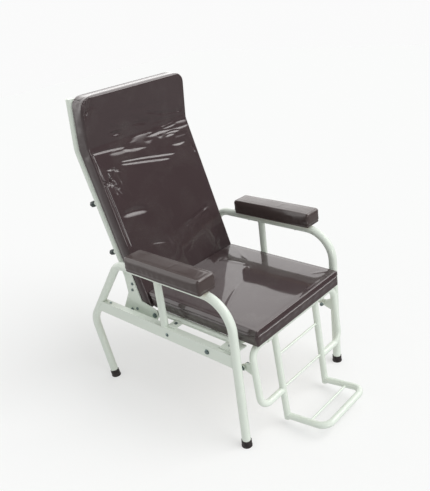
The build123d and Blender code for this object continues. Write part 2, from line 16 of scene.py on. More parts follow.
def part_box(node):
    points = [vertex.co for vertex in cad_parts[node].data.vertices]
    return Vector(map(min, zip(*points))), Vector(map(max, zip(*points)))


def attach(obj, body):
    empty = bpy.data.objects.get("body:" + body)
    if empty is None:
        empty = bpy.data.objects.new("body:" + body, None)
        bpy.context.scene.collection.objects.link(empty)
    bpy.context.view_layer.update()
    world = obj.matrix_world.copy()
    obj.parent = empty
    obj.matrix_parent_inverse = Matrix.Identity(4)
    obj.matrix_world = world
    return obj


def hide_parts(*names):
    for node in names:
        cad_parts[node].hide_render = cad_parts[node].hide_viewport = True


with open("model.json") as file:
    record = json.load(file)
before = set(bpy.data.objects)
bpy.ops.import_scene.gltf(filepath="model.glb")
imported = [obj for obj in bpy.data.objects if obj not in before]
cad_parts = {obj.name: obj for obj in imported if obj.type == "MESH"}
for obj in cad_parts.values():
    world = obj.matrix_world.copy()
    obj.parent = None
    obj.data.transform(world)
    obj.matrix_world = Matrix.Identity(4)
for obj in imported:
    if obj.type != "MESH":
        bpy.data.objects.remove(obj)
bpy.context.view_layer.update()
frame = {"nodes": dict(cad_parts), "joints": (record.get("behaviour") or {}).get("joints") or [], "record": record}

log = logging.getLogger("recliner")
MM = 0.001
Point = Tuple[float, float, float]
Faces = List[Tuple[int, ...]]


class Side(Enum):
    """Which side of the chair a piece stands on, as the sitter sees it."""

    LEFT = 1
    RIGHT = -1


class Head(Enum):
    """Shapes of screw and bolt heads."""

    HEX = "hex"
    DOME = "dome"
    PAN = "pan"


class Section(Enum):
    """Outlines of a turned part's rings."""

    ROUND = "round"
    HEX = "hex"
    LOBED = "lobed"


# ---------------------------------------------------------------- node trees
class Wiring:
    """Short calls that add and join nodes in one tree."""

    def __init__(self, tree: bpy.types.NodeTree) -> None:
        """Keep the tree that the nodes go in."""
        self.tree = tree

    def add(self, kind: str, inputs: Optional[dict] = None, **settings) -> bpy.types.Node:
        """Add a node.

        Args:
            kind: the node's type name.
            inputs: value or socket for each input, by name or index.
            settings: the node's own properties.

        Returns:
            The new node.
        """
        node = self.tree.nodes.new(kind)
        for key, value in settings.items():
            setattr(node, key, value)
        for key, value in (inputs or {}).items():
            if isinstance(value, bpy.types.NodeSocket):
                self.tree.links.new(value, node.inputs[key])
            else:
                node.inputs[key].default_value = value
        return node

    def math(self, operation: str, first, second=0.0, clamp: bool = False) -> bpy.types.NodeSocket:
        """Math node of one or two terms; returns its result."""
        node = self.add("ShaderNodeMath", {0: first, 1: second}, operation=operation)
        node.use_clamp = clamp
        return node.outputs[0]

    def span(self, value, low: float, high: float, out_low: float = 0.0,
             out_high: float = 1.0) -> bpy.types.NodeSocket:
        """Map Range node with clamping; returns its result."""
        return self.add("ShaderNodeMapRange", {"Value": value, "From Min": low, "From Max": high,
                                               "To Min": out_low, "To Max": out_high}).outputs[0]

    def tint(self, factor, first, second) -> bpy.types.NodeSocket:
        """Colour between first and second by factor."""
        node = self.add("ShaderNodeMix", data_type="RGBA")
        for socket, value in zip((node.inputs[0], node.inputs[6], node.inputs[7]), (factor, first, second)):
            if isinstance(value, bpy.types.NodeSocket):
                self.tree.links.new(value, socket)
            else:
                socket.default_value = value
        return node.outputs[2]


def shader_group(name: str, inputs: Dict[str, float], outputs: Sequence[str],
                 build: Callable[[Wiring, bpy.types.Node], Dict[str, bpy.types.NodeSocket]]):
    """Make a shader node group once.

    Args:
        name: the group's name.
        inputs: its float inputs and their defaults, besides the Vector input.
        outputs: names of its float outputs.
        build: adds the nodes and gives the socket of each output.

    Returns:
        The node group.
    """
    tree = bpy.data.node_groups.new(name, "ShaderNodeTree")
    tree.interface.new_socket(name="Vector", in_out="INPUT", socket_type="NodeSocketVector")
    for key, default in inputs.items():
        socket = tree.interface.new_socket(name=key, in_out="INPUT", socket_type="NodeSocketFloat")
        socket.default_value = default
    for key in outputs:
        tree.interface.new_socket(name=key, in_out="OUTPUT", socket_type="NodeSocketFloat")
    wiring = Wiring(tree)
    entry = wiring.add("NodeGroupInput")
    leave = wiring.add("NodeGroupOutput")
    for key, socket in build(wiring, entry).items():
        tree.links.new(socket, leave.inputs[key])
    return tree


def _build_grain(w: Wiring, entry: bpy.types.Node) -> Dict[str, bpy.types.NodeSocket]:
    """Two sizes of noise laid over each other.

    Args:
        w: Tree being wired.
        entry: Group's input node.

    Returns:
        Output sockets by name.
    """
    coarse = w.add("ShaderNodeTexNoise", {"Vector": entry.outputs["Vector"],
                                          "Scale": entry.outputs["Scale"], "Detail": 3.0,
                                          "Roughness": 0.55})
    fine_scale = w.math("MULTIPLY", entry.outputs["Scale"], 4.3)
    fine = w.add("ShaderNodeTexNoise", {"Vector": entry.outputs["Vector"], "Scale": fine_scale,
                                        "Detail": 2.0, "Roughness": 0.6})
    mixed = w.math("ADD", w.math("MULTIPLY", coarse.outputs[0], entry.outputs["Coarse"]),
                   w.math("MULTIPLY", fine.outputs[0], entry.outputs["Fine"]))
    return {"Height": mixed}


def _build_soil(w: Wiring, entry: bpy.types.Node) -> Dict[str, bpy.types.NodeSocket]:
    """Broad patches broken up by specks: where hands, feet and dust leave their marks.

    Args:
        w: Tree being wired.
        entry: Group's input node.

    Returns:
        Output sockets by name.
    """
    patches = w.add("ShaderNodeTexNoise", {"Vector": entry.outputs["Vector"],
                                           "Scale": entry.outputs["Scale"], "Detail": 5.0,
                                           "Roughness": 0.62, "Distortion": 0.4})
    specks = w.add("ShaderNodeTexVoronoi", {"Vector": entry.outputs["Vector"],
                                            "Scale": w.math("MULTIPLY", entry.outputs["Scale"], 22.0)})
    patch = w.add("ShaderNodeMapRange", {"Value": patches.outputs[0],
                                         "From Min": entry.outputs["Threshold"],
                                         "From Max": w.math("ADD", entry.outputs["Threshold"], 0.22)})
    speck = w.span(specks.outputs["Distance"], 0.05, 0.45, 1.0, 0.35)
    return {"Mask": w.math("MULTIPLY", w.math("MULTIPLY", patch.outputs[0], speck),
                           entry.outputs["Amount"], clamp=True)}


def _build_creases(w: Wiring, entry: bpy.types.Node) -> Dict[str, bpy.types.NodeSocket]:
    """Long pulled creases of a tight glossy sheet, mostly across it, with a few crossing folds.

    Args:
        w: Tree being wired.
        entry: Group's input node.

    Returns:
        Output sockets by name.
    """
    stretched = w.add("ShaderNodeMapping", {"Vector": entry.outputs["Vector"], "Scale": (0.22, 1.0, 1.0),
                                            "Rotation": (0.0, 0.12, 0.0)})
    warp = w.add("ShaderNodeTexNoise", {"Vector": stretched.outputs[0], "Scale": entry.outputs["Scale"],
                                        "Detail": 2.0, "Distortion": 1.1}, noise_type="RIDGED_MULTIFRACTAL")
    warp.inputs["Offset"].default_value = 0.85
    warp.inputs["Gain"].default_value = 1.2
    cross = w.add("ShaderNodeMapping", {"Vector": entry.outputs["Vector"], "Scale": (1.0, 0.35, 0.35),
                                        "Rotation": (0.0, 0.7, 0.5)})
    folds = w.add("ShaderNodeTexNoise", {"Vector": cross.outputs[0],
                                         "Scale": w.math("MULTIPLY", entry.outputs["Scale"], 1.7),
                                         "Detail": 1.0, "Distortion": 0.8})
    sharp = w.math("SUBTRACT", 1.0, w.math("MULTIPLY", w.math("ABSOLUTE", w.math(
        "SUBTRACT", folds.outputs[0], 0.5)), 9.0), clamp=True)
    where = w.add("ShaderNodeTexNoise", {"Vector": entry.outputs["Vector"], "Scale": 5.0, "Detail": 1.0})
    here = w.span(where.outputs[0], 0.46, 0.62)
    ridged = w.math("MULTIPLY", warp.outputs[0], entry.outputs["Across"])
    return {"Height": w.math("ADD", ridged, w.math("MULTIPLY", w.math("MULTIPLY", sharp, here),
                                                   entry.outputs["Folds"]))}


GRAIN = shader_group("surface_grain", {"Scale": 200.0, "Coarse": 0.6, "Fine": 0.4}, ["Height"], _build_grain)
SOIL = shader_group("handling_soil", {"Scale": 8.0, "Threshold": 0.55, "Amount": 0.5}, ["Mask"], _build_soil)
CREASES = shader_group("sheet_creases", {"Scale": 20.0, "Across": 0.5, "Folds": 0.5}, ["Height"],
                       _build_creases)


# ---------------------------------------------------------------- finishes
@dataclass(frozen=True)
class Finish:
    """What every finish has: a name, a main colour and a roughness."""

    name: str
    color: Tuple[float, float, float]
    roughness: float

    def material(self) -> bpy.types.Material:
        """Build the material with this finish's nodes, once.

        Returns:
            The material.
        """
        found = bpy.data.materials.get(self.name)
        if found:
            return found
        made = bpy.data.materials.new(self.name)
        made.use_nodes = True
        made.diffuse_color = (*self.color, 1.0)
        made.node_tree.nodes.clear()
        w = Wiring(made.node_tree)
        shader = w.add("ShaderNodeBsdfPrincipled", {"Roughness": self.roughness})
        out = w.add("ShaderNodeOutputMaterial")
        made.node_tree.links.new(shader.outputs[0], out.inputs["Surface"])
        place = w.add("ShaderNodeTexCoord").outputs["Object"]
        self.dress(w, shader, place)
        return made

    def dress(self, w: Wiring, shader: bpy.types.Node, place: bpy.types.NodeSocket) -> None:
        """Add this finish's own nodes; each finish has its own way."""
        raise NotImplementedError

    @staticmethod
    def group(w: Wiring, tree: bpy.types.NodeTree, place, **values: float) -> bpy.types.Node:
        """Place a shader group with its values set."""
        node = w.add("ShaderNodeGroup", node_tree=tree)
        w.tree.links.new(place, node.inputs["Vector"])
        for key, value in values.items():
            node.inputs[key.capitalize()].default_value = value
        return node

    @staticmethod
    def relief(w: Wiring, shader: bpy.types.Node, layers: Sequence[Tuple[object, float, float]]) -> None:
        """Stack bumps of (height, strength, distance in metres) and join them to the shader."""
        normal = None
        for height, strength, distance in layers:
            bump = w.add("ShaderNodeBump", {"Height": height, "Strength": strength, "Distance": distance})
            if normal is not None:
                w.tree.links.new(normal, bump.inputs["Normal"])
            normal = bump.outputs[0]
        w.tree.links.new(normal, shader.inputs["Normal"])


@dataclass(frozen=True)
class PowderCoat(Finish):
    """Off-white stoved powder on steel tube, with orange peel, soil in patches and a few rubbed marks."""

    soil: float = 0.35
    peel: float = 0.00018

    def dress(self, w: Wiring, shader: bpy.types.Node, place: bpy.types.NodeSocket) -> None:
        """Orange peel, soft grey soil, and rub marks that dull the gloss."""
        peel = self.group(w, GRAIN, place, scale=420.0, coarse=0.8, fine=0.2)
        soil = self.group(w, SOIL, place, scale=7.0, threshold=0.52, amount=self.soil)
        rubs = self.group(w, SOIL, place, scale=31.0, threshold=0.63, amount=0.6)
        shade = tuple(c * 0.86 for c in self.color)
        base = w.tint(soil.outputs["Mask"], (*self.color, 1.0), (*shade, 1.0))
        marks = w.tint(w.math("MULTIPLY", rubs.outputs["Mask"], 0.35), base, (0.36, 0.37, 0.34, 1.0))
        w.tree.links.new(marks, shader.inputs["Base Color"])
        rough = w.math("ADD", self.roughness, w.math("MULTIPLY", rubs.outputs["Mask"], 0.22))
        w.tree.links.new(rough, shader.inputs["Roughness"])
        shader.inputs["Coat Weight"].default_value = 0.35
        shader.inputs["Coat Roughness"].default_value = 0.18
        self.relief(w, shader, [(peel.outputs["Height"], 0.35, self.peel)])


@dataclass(frozen=True)
class GlossVinyl(Finish):
    """Dark vinyl pulled tight, with a glossy skin, fine grain and long pull creases."""

    coat: float = 1.0
    coat_roughness: float = 0.05
    crease: float = 0.00018
    folds: float = 0.4
    tone: Tuple[float, float, float] = (0.082, 0.068, 0.066)

    def dress(self, w: Wiring, shader: bpy.types.Node, place: bpy.types.NodeSocket) -> None:
        """Tone patches, leather grain under the skin, and creases in it."""
        grain = self.group(w, GRAIN, place, scale=700.0, coarse=0.55, fine=0.45)
        creases = self.group(w, CREASES, place, scale=9.0, across=0.5, folds=self.folds)
        haze = self.group(w, SOIL, place, scale=7.0, threshold=0.47, amount=0.9)
        base = w.tint(haze.outputs["Mask"], (*self.color, 1.0), (*self.tone, 1.0))
        w.tree.links.new(base, shader.inputs["Base Color"])
        rough = w.span(grain.outputs["Height"], 0.3, 0.7, self.roughness, self.roughness + 0.12)
        w.tree.links.new(rough, shader.inputs["Roughness"])
        shader.inputs["Coat Weight"].default_value = self.coat
        shader.inputs["Coat Roughness"].default_value = self.coat_roughness
        shader.inputs["Coat IOR"].default_value = 1.62
        shader.inputs["Specular IOR Level"].default_value = 0.07
        self.relief(w, shader, [(creases.outputs["Height"], 0.6, self.crease),
                                (grain.outputs["Height"], 0.25, 0.00006)])


@dataclass(frozen=True)
class Plywood(Finish):
    """Raw plywood: streaked face veneer and plies that show along its edges."""

    def dress(self, w: Wiring, shader: bpy.types.Node, place: bpy.types.NodeSocket) -> None:
        """Long streaks across the sheet, darker growth bands and pores."""
        long_way = w.add("ShaderNodeMapping", {"Vector": place, "Scale": (0.7, 9.0, 9.0)})
        bands = w.add("ShaderNodeTexWave", {"Vector": long_way.outputs[0], "Scale": 6.0, "Distortion": 9.0,
                                            "Detail": 4.0, "Detail Scale": 1.4}, bands_direction="Y")
        pores = w.add("ShaderNodeTexNoise", {"Vector": long_way.outputs[0], "Scale": 90.0, "Detail": 4.0})
        tone = w.tint(bands.outputs["Fac"], (*self.color, 1.0), tuple(c * 0.62 for c in self.color) + (1.0,))
        dark = w.span(pores.outputs[0], 0.55, 0.72)
        speckled = w.tint(w.math("MULTIPLY", dark, 0.5), tone, (0.16, 0.09, 0.04, 1.0))
        w.tree.links.new(speckled, shader.inputs["Base Color"])
        self.relief(w, shader, [(pores.outputs[0], 0.5, 0.0002)])


@dataclass(frozen=True)
class Rubber(Finish):
    """Dull moulded rubber, dusty where it meets the floor."""

    def dress(self, w: Wiring, shader: bpy.types.Node, place: bpy.types.NodeSocket) -> None:
        """Fine pitting, and dust that thins out upwards."""
        pits = self.group(w, GRAIN, place, scale=520.0, coarse=0.5, fine=0.5)
        dust = self.group(w, SOIL, place, scale=24.0, threshold=0.4, amount=0.7)
        height = w.add("ShaderNodeSeparateXYZ", {0: place}).outputs["Z"]
        low = w.math("MULTIPLY", w.span(height, 0.0, 0.02, 1.0, 0.25), dust.outputs["Mask"])
        base = w.tint(low, (*self.color, 1.0), (0.13, 0.12, 0.11, 1.0))
        w.tree.links.new(base, shader.inputs["Base Color"])
        w.tree.links.new(w.math("ADD", self.roughness, w.math("MULTIPLY", low, 0.3)),
                         shader.inputs["Roughness"])
        self.relief(w, shader, [(pits.outputs["Height"], 0.4, 0.00012)])


@dataclass(frozen=True)
class Plastic(Finish):
    """Moulded knob plastic with a fine spark-eroded texture."""

    def dress(self, w: Wiring, shader: bpy.types.Node, place: bpy.types.NodeSocket) -> None:
        """Even tone with a little greasy shine where fingers turn it: the roughness drops there, and the base
        colour is lifted there as a painted sheen.
        """
        texture = self.group(w, GRAIN, place, scale=900.0, coarse=0.4, fine=0.6)
        grease_and_painted_sheen = self.group(w, SOIL, place, scale=60.0, threshold=0.5, amount=0.7)
        # the lighter base colour under this mask is a painted sheen; the lower roughness set below is real gloss
        base = w.tint(grease_and_painted_sheen.outputs["Mask"], (*self.color, 1.0), tuple(c * 1.5 for c in self.color) + (1.0,))
        w.tree.links.new(base, shader.inputs["Base Color"])
        w.tree.links.new(w.math("SUBTRACT", self.roughness, w.math(
            "MULTIPLY", grease_and_painted_sheen.outputs["Mask"], 0.15)), shader.inputs["Roughness"])
        self.relief(w, shader, [(texture.outputs["Height"], 0.35, 0.00008)])


@dataclass(frozen=True)
class PlatedSteel(Finish):
    """Plated steel fixings: cool metal with brushed scatter and dull stains."""

    stain: Tuple[float, float, float] = (0.09, 0.085, 0.075)

    def dress(self, w: Wiring, shader: bpy.types.Node, place: bpy.types.NodeSocket) -> None:
        """Mottled plating, duller where it has stained."""
        mottle = self.group(w, GRAIN, place, scale=300.0, coarse=0.7, fine=0.3)
        stains = self.group(w, SOIL, place, scale=90.0, threshold=0.5, amount=0.9)
        base = w.tint(stains.outputs["Mask"], (*self.color, 1.0), (*self.stain, 1.0))
        w.tree.links.new(base, shader.inputs["Base Color"])
        w.tree.links.new(w.math("ADD", self.roughness, w.math(
            "MULTIPLY", stains.outputs["Mask"], 0.3)), shader.inputs["Roughness"])
        w.tree.links.new(w.math("SUBTRACT", 1.0, w.math("MULTIPLY", stains.outputs["Mask"], 0.6)),
                         shader.inputs["Metallic"])
        self.relief(w, shader, [(mottle.outputs["Height"], 0.3, 0.00008)])


@dataclass(frozen=True)
class PlainMatt(Finish):
    """Studio floor and backdrop."""

    glow: float = 0.475

    def dress(self, w: Wiring, shader: bpy.types.Node, place: bpy.types.NodeSocket) -> None:
        """One pale colour, without gloss, lit a little from within as a sweep lit from below is."""
        shader.inputs["Base Color"].default_value = (*self.color, 1.0)
        shader.inputs["Emission Color"].default_value = (1.0, 1.0, 1.0, 1.0)
        shader.inputs["Emission Strength"].default_value = self.glow
        shader.inputs["Specular IOR Level"].default_value = 0.0


@dataclass(frozen=True)
class FinishSet:
    """All the chair's finishes."""

    coat: Finish = PowderCoat("stoved_powder", (0.70, 0.755, 0.685), 0.38)
    vinyl: Finish = GlossVinyl("gloss_vinyl", (0.05, 0.033, 0.035), 0.34)
    pad: Finish = GlossVinyl("soft_pad_vinyl", (0.062, 0.045, 0.043), 0.36, coat=0.8, coat_roughness=0.12,
                             crease=0.0003, folds=0.25, tone=(0.095, 0.082, 0.078))
    plywood: Finish = Plywood("raw_plywood", (0.62, 0.44, 0.27), 0.68)
    rubber: Finish = Rubber("cap_rubber", (0.022, 0.016, 0.017), 0.62)
    knob: Finish = Plastic("moulded_knob", (0.035, 0.05, 0.05), 0.42)
    steel: Finish = PlatedSteel("dark_plated_steel", (0.22, 0.28, 0.28), 0.38)
    bright: Finish = PlatedSteel("bright_zinc", (0.55, 0.58, 0.58), 0.3, stain=(0.25, 0.26, 0.25))
    floor: Finish = PlainMatt("studio_floor", (0.45, 0.45, 0.45), 1.0)


# ---------------------------------------------------------------- mesh code
def make_object(name: str, points: np.ndarray, faces: Faces, finish: Optional[Finish],
                smooth: bool = True, recalc: bool = True) -> bpy.types.Object:
    """Make a mesh object at the origin.

    Args:
        name: the object's name.
        points: vertex places in metres.
        faces: vertex numbers of each face.
        finish: its finish, or None.
        smooth: shade smooth by angle.
        recalc: turn all faces outward.

    Returns:
        The linked object.
    """
    mesh = bpy.data.meshes.new(name)
    mesh.from_pydata([tuple(p) for p in points], [], faces)
    if recalc:
        bm = bmesh.new()
        bm.from_mesh(mesh)
        bmesh.ops.recalc_face_normals(bm, faces=bm.faces)
        bm.to_mesh(mesh)
        bm.free()
    obj = bpy.data.objects.new(name, mesh)
    bpy.context.scene.collection.objects.link(obj)
    if finish:
        mesh.materials.append(finish.material())
    if smooth:
        mesh.shade_smooth()
        mesh.set_sharp_from_angle(angle=math.radians(38))
    return obj


def axes_for(direction: Sequence[float]) -> Tuple[np.ndarray, np.ndarray, np.ndarray]:
    """Three unit vectors at right angles, the last one along direction.

    Args:
        direction: Way of the last vector, of any length.

    Returns:
        The three vectors.
    """
    along = np.array(direction, float)
    along /= np.linalg.norm(along)
    guide = np.array((1.0, 0.0, 0.0)) if abs(along[0]) < 0.9 else np.array((0.0, 0.0, 1.0))
    first = np.cross(guide, along)
    first /= np.linalg.norm(first)
    return first, np.cross(along, first), along


@dataclass
class Shape:
    """Vertices and faces gathered before they become one object."""

    points: List[np.ndarray] = field(default_factory=list)
    faces: Faces = field(default_factory=list)
    count: int = 0

    def take(self, points: np.ndarray, faces: Faces) -> None:
        """Add one closed part."""
        self.faces += [tuple(i + self.count for i in f) for f in faces]
        self.points.append(np.asarray(points, float))
        self.count += len(points)

    def turn(self, profile: Sequence[Tuple[float, float, Section]], place: Sequence[float],
             direction: Sequence[float], segments: int = 36, spin: float = 0.0) -> None:
        """Add a turned part.

        Args:
            profile: (radius, height, section) rings from one end to the other; a hexagon's radius is
                measured to its flats.
            place: where height 0 is.
            direction: the axis.
            segments: points round each ring.
            spin: turn about the axis in radians.
        """
        first, second, along = axes_for(direction)
        angles = np.linspace(0, 2 * math.pi, segments, endpoint=False) + spin
        sector = np.mod(angles - spin, math.pi / 3) - math.pi / 6
        outlines = {Section.ROUND: np.ones(segments), Section.HEX: 1.0 / np.cos(sector),
                    Section.LOBED: 1.0 - 0.13 * np.clip(np.cos(6 * (angles - spin)), 0, 1) ** 1.5}
        rings = []
        for radius, height, section in profile:
            reach = radius * outlines[section]
            rings.append(np.outer(reach * np.cos(angles), first) + np.outer(reach * np.sin(angles), second)
                         + along * height + np.array(place))
        start = len(rings) * segments
        faces: Faces = []
        for r in range(len(rings) - 1):
            for s in range(segments):
                n = (s + 1) % segments
                faces.append((r * segments + s, r * segments + n, (r + 1) * segments + n,
                              (r + 1) * segments + s))
        centres = [np.array(place) + along * profile[0][1], np.array(place) + along * profile[-1][1]]
        for s in range(segments):
            n = (s + 1) % segments
            faces.append((n, s, start))
            faces.append((start - segments + s, start - segments + n, start + 1))
        self.take(np.vstack(rings + [np.array(centres)]), faces)

    def build(self, name: str, finish: Finish, body: str, slot: str,
              replaces: Sequence[str] = ()) -> bpy.types.Object:
        """Make the gathered parts one object, riding on a body."""
        obj = make_object(name, np.vstack(self.points), self.faces, finish)
        return settle(obj, body, replaces)


def settle(obj: bpy.types.Object, body: str, replaces: Sequence[str] = ()) -> bpy.types.Object:
    """Say what a finished piece rides on and the CAD nodes that it stands for.

    Args:
        obj: The piece.
        body: Body that carries it.
        replaces: CAD nodes that it stands for.

    Returns:
        The piece.
    """
    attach(obj, body)
    if replaces:
        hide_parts(*replaces)
    log.info("%s: %d faces on %s", obj.name, len(obj.data.polygons), body)
    return obj


def head_profile(kind: Head, radius: float, height: float) -> List[Tuple[float, float, Section]]:
    """Rings of a fixing's head, from its seat outward, with its washer where it has one.

    Args:
        kind: Shape of the head.
        radius: Half its width.
        height: From seat to top.

    Returns:
        Radius, height and section of each ring.
    """
    if kind is Head.HEX:
        washer = radius * 1.22
        return [(washer, 0.0, Section.ROUND), (washer, height * 0.18, Section.ROUND),
                (washer - 0.3 * MM, height * 0.24, Section.ROUND), (radius, height * 0.24, Section.HEX),
                (radius, height * 0.82, Section.HEX), (radius * 0.93, height * 0.97, Section.HEX),
                (radius * 0.86, height, Section.ROUND), (radius * 0.45, height * 0.96, Section.ROUND)]
    if kind is Head.DOME:
        rings = [(radius * math.cos(a), height * (0.3 + 0.7 * math.sin(a)), Section.ROUND)
                 for a in np.linspace(0.0, 1.45, 7)]
        return [(radius * 0.97, 0.0, Section.ROUND), (radius, height * 0.12, Section.ROUND)] + rings
    return [(radius, 0.0, Section.ROUND), (radius, height * 0.45, Section.ROUND),
            (radius * 0.93, height * 0.8, Section.ROUND), (radius * 0.75, height, Section.ROUND),
            (radius * 0.3, height, Section.ROUND), (radius * 0.24, height * 0.55, Section.ROUND)]


# ---------------------------------------------------------------- geometry node trees
def geometry_tree(name: str, inputs: Sequence[Tuple[str, str, object]]):
    """Start a geometry node tree with its named inputs.

    Args:
        name: the tree's name.
        inputs: (name, socket type, default) of each input after the geometry.

    Returns:
        The tree, its wiring, its input node and its output node.
    """
    tree = bpy.data.node_groups.new(name, "GeometryNodeTree")
    tree.is_modifier = True
    tree.interface.new_socket(name="Geometry", in_out="INPUT", socket_type="NodeSocketGeometry")
    for key, kind, default in inputs:
        socket = tree.interface.new_socket(name=key, in_out="INPUT", socket_type=kind)
        if default is not None:
            socket.default_value = default
    tree.interface.new_socket(name="Geometry", in_out="OUTPUT", socket_type="NodeSocketGeometry")
    w = Wiring(tree)
    return tree, w, w.add("NodeGroupInput"), w.add("NodeGroupOutput")


def weld_tree() -> bpy.types.NodeTree:
    """Weld bead: small overlapping drops of metal laid along every closed edge loop.

    Returns:
        The node tree.
    """
    tree, w, entry, leave = geometry_tree("weld_bead", [
        ("Pitch", "NodeSocketFloat", 0.002), ("Size", "NodeSocketFloat", 0.002),
        ("Material", "NodeSocketMaterial", None)])
    curve = w.add("GeometryNodeMeshToCurve", {"Mesh": entry.outputs["Geometry"]})
    points = w.add("GeometryNodeCurveToPoints", {"Curve": curve.outputs[0],
                                                 "Length": entry.outputs["Pitch"]}, mode="LENGTH")
    drop = w.add("GeometryNodeMeshIcoSphere", {"Radius": entry.outputs["Size"], "Subdivisions": 2})
    vary = w.add("FunctionNodeRandomValue", {"Min": (0.85, 0.85, 0.8), "Max": (1.12, 1.12, 1.15), "Seed": 7},
                 data_type="FLOAT_VECTOR")
    laid = w.add("GeometryNodeInstanceOnPoints", {"Points": points.outputs["Points"],
                                                  "Instance": drop.outputs["Mesh"],
                                                  "Rotation": points.outputs["Rotation"],
                                                  "Scale": vary.outputs["Value"]})
    finish_tree(w, laid.outputs[0], entry, leave)
    return tree


def thread_tree() -> bpy.types.NodeTree:
    """Row of stitches or staples: one unit at every step of a path, turned along it.

    Returns:
        The node tree.
    """
    tree, w, entry, leave = geometry_tree("unit_row", [
        ("Pitch", "NodeSocketFloat", 0.004), ("Unit", "NodeSocketObject", None),
        ("Material", "NodeSocketMaterial", None)])
    curve = w.add("GeometryNodeMeshToCurve", {"Mesh": entry.outputs["Geometry"]})
    points = w.add("GeometryNodeCurveToPoints", {"Curve": curve.outputs[0],
                                                 "Length": entry.outputs["Pitch"]}, mode="LENGTH")
    unit = w.add("GeometryNodeObjectInfo", {"Object": entry.outputs["Unit"]})
    laid = w.add("GeometryNodeInstanceOnPoints", {"Points": points.outputs["Points"],
                                                  "Instance": unit.outputs["Geometry"],
                                                  "Rotation": points.outputs["Rotation"]})
    finish_tree(w, laid.outputs[0], entry, leave)
    return tree


def fixing_tree() -> bpy.types.NodeTree:
    """Fixings: one unit on every point, standing along the point's facing attribute.

    Returns:
        The node tree.
    """
    tree, w, entry, leave = geometry_tree("fixings", [
        ("Unit", "NodeSocketObject", None), ("Material", "NodeSocketMaterial", None)])
    facing = w.add("GeometryNodeInputNamedAttribute", {"Name": "facing"}, data_type="FLOAT_VECTOR")
    turn = w.add("FunctionNodeAlignRotationToVector", {"Vector": facing.outputs[0]}, axis="Z")
    points = w.add("GeometryNodeMeshToPoints", {"Mesh": entry.outputs["Geometry"]})
    unit = w.add("GeometryNodeObjectInfo", {"Object": entry.outputs["Unit"]})
    laid = w.add("GeometryNodeInstanceOnPoints", {"Points": points.outputs[0],
                                                  "Instance": unit.outputs["Geometry"],
                                                  "Rotation": turn.outputs[0]})
    finish_tree(w, laid.outputs[0], entry, leave)
    return tree


def finish_tree(w: Wiring, socket, entry: bpy.types.Node, leave: bpy.types.Node) -> None:
    """End a tree in Realize Instances, smooth shading and Set Material.

    Args:
        w: Tree being wired.
        socket: Geometry to end on.
        entry: Tree's input node.
        leave: Tree's output node.
    """
    real = w.add("GeometryNodeRealizeInstances", {"Geometry": socket})
    smooth = w.add("GeometryNodeSetShadeSmooth", {"Geometry": real.outputs[0]})
    dressed = w.add("GeometryNodeSetMaterial", {"Geometry": smooth.outputs[0],
                                                "Material": entry.outputs["Material"]})
    w.tree.links.new(dressed.outputs[0], leave.inputs[0])


@dataclass
class Trees:
    """The chair's geometry node trees."""

    weld: bpy.types.NodeTree = field(default_factory=weld_tree)
    row: bpy.types.NodeTree = field(default_factory=thread_tree)
    fixing: bpy.types.NodeTree = field(default_factory=fixing_tree)


def grow(name: str, host: bpy.types.Mesh, tree: bpy.types.NodeTree, values: dict) -> bpy.types.Object:
    """Run a tree on a host mesh and keep the result as a plain object.

    Args:
        name: the result's name.
        host: the mesh that the tree starts from.
        tree: the geometry node tree.
        values: the tree's inputs, by name.

    Returns:
        The linked object, at the origin.
    """
    holder = bpy.data.objects.new(name + "_host", host)
    bpy.context.scene.collection.objects.link(holder)
    modifier = holder.modifiers.new("grow", "NODES")
    modifier.node_group = tree
    for item in tree.interface.items_tree:
        if item.item_type == "SOCKET" and item.in_out == "INPUT" and item.name in values:
            modifier[item.identifier] = values[item.name]
    bpy.context.view_layer.update()
    evaluated = holder.evaluated_get(bpy.context.evaluated_depsgraph_get())
    mesh = bpy.data.meshes.new_from_object(evaluated)
    obj = bpy.data.objects.new(name, mesh)
    bpy.context.scene.collection.objects.link(obj)
    bpy.data.objects.remove(holder)
    return obj


def loops_mesh(name: str, loops: Sequence[np.ndarray], closed: bool = True) -> bpy.types.Mesh:
    """Edge loops as one mesh.

    Args:
        name: Mesh's name.
        loops: Points of each loop.
        closed: Whether ends join.

    Returns:
        The mesh.
    """
    points, edges, start = [], [], 0
    for loop in loops:
        count = len(loop)
        points += [tuple(p) for p in loop]
        edges += [(start + i, start + (i + 1) % count) for i in range(count if closed else count - 1)]
        start += count
    mesh = bpy.data.meshes.new(name)
    mesh.from_pydata(points, edges, [])
    return mesh


def points_mesh(name: str, places: Sequence[Point], facings: Sequence[Point]) -> bpy.types.Mesh:
    """Loose points with a facing vector each.

    Args:
        name: Mesh's name.
        places: The points.
        facings: Their facing vectors.

    Returns:
        The mesh.
    """
    mesh = bpy.data.meshes.new(name)
    mesh.from_pydata([tuple(p) for p in places], [], [])
    facing = mesh.attributes.new("facing", "FLOAT_VECTOR", "POINT")
    facing.data.foreach_set("vector", np.array(facings, np.float32).ravel())
    return mesh


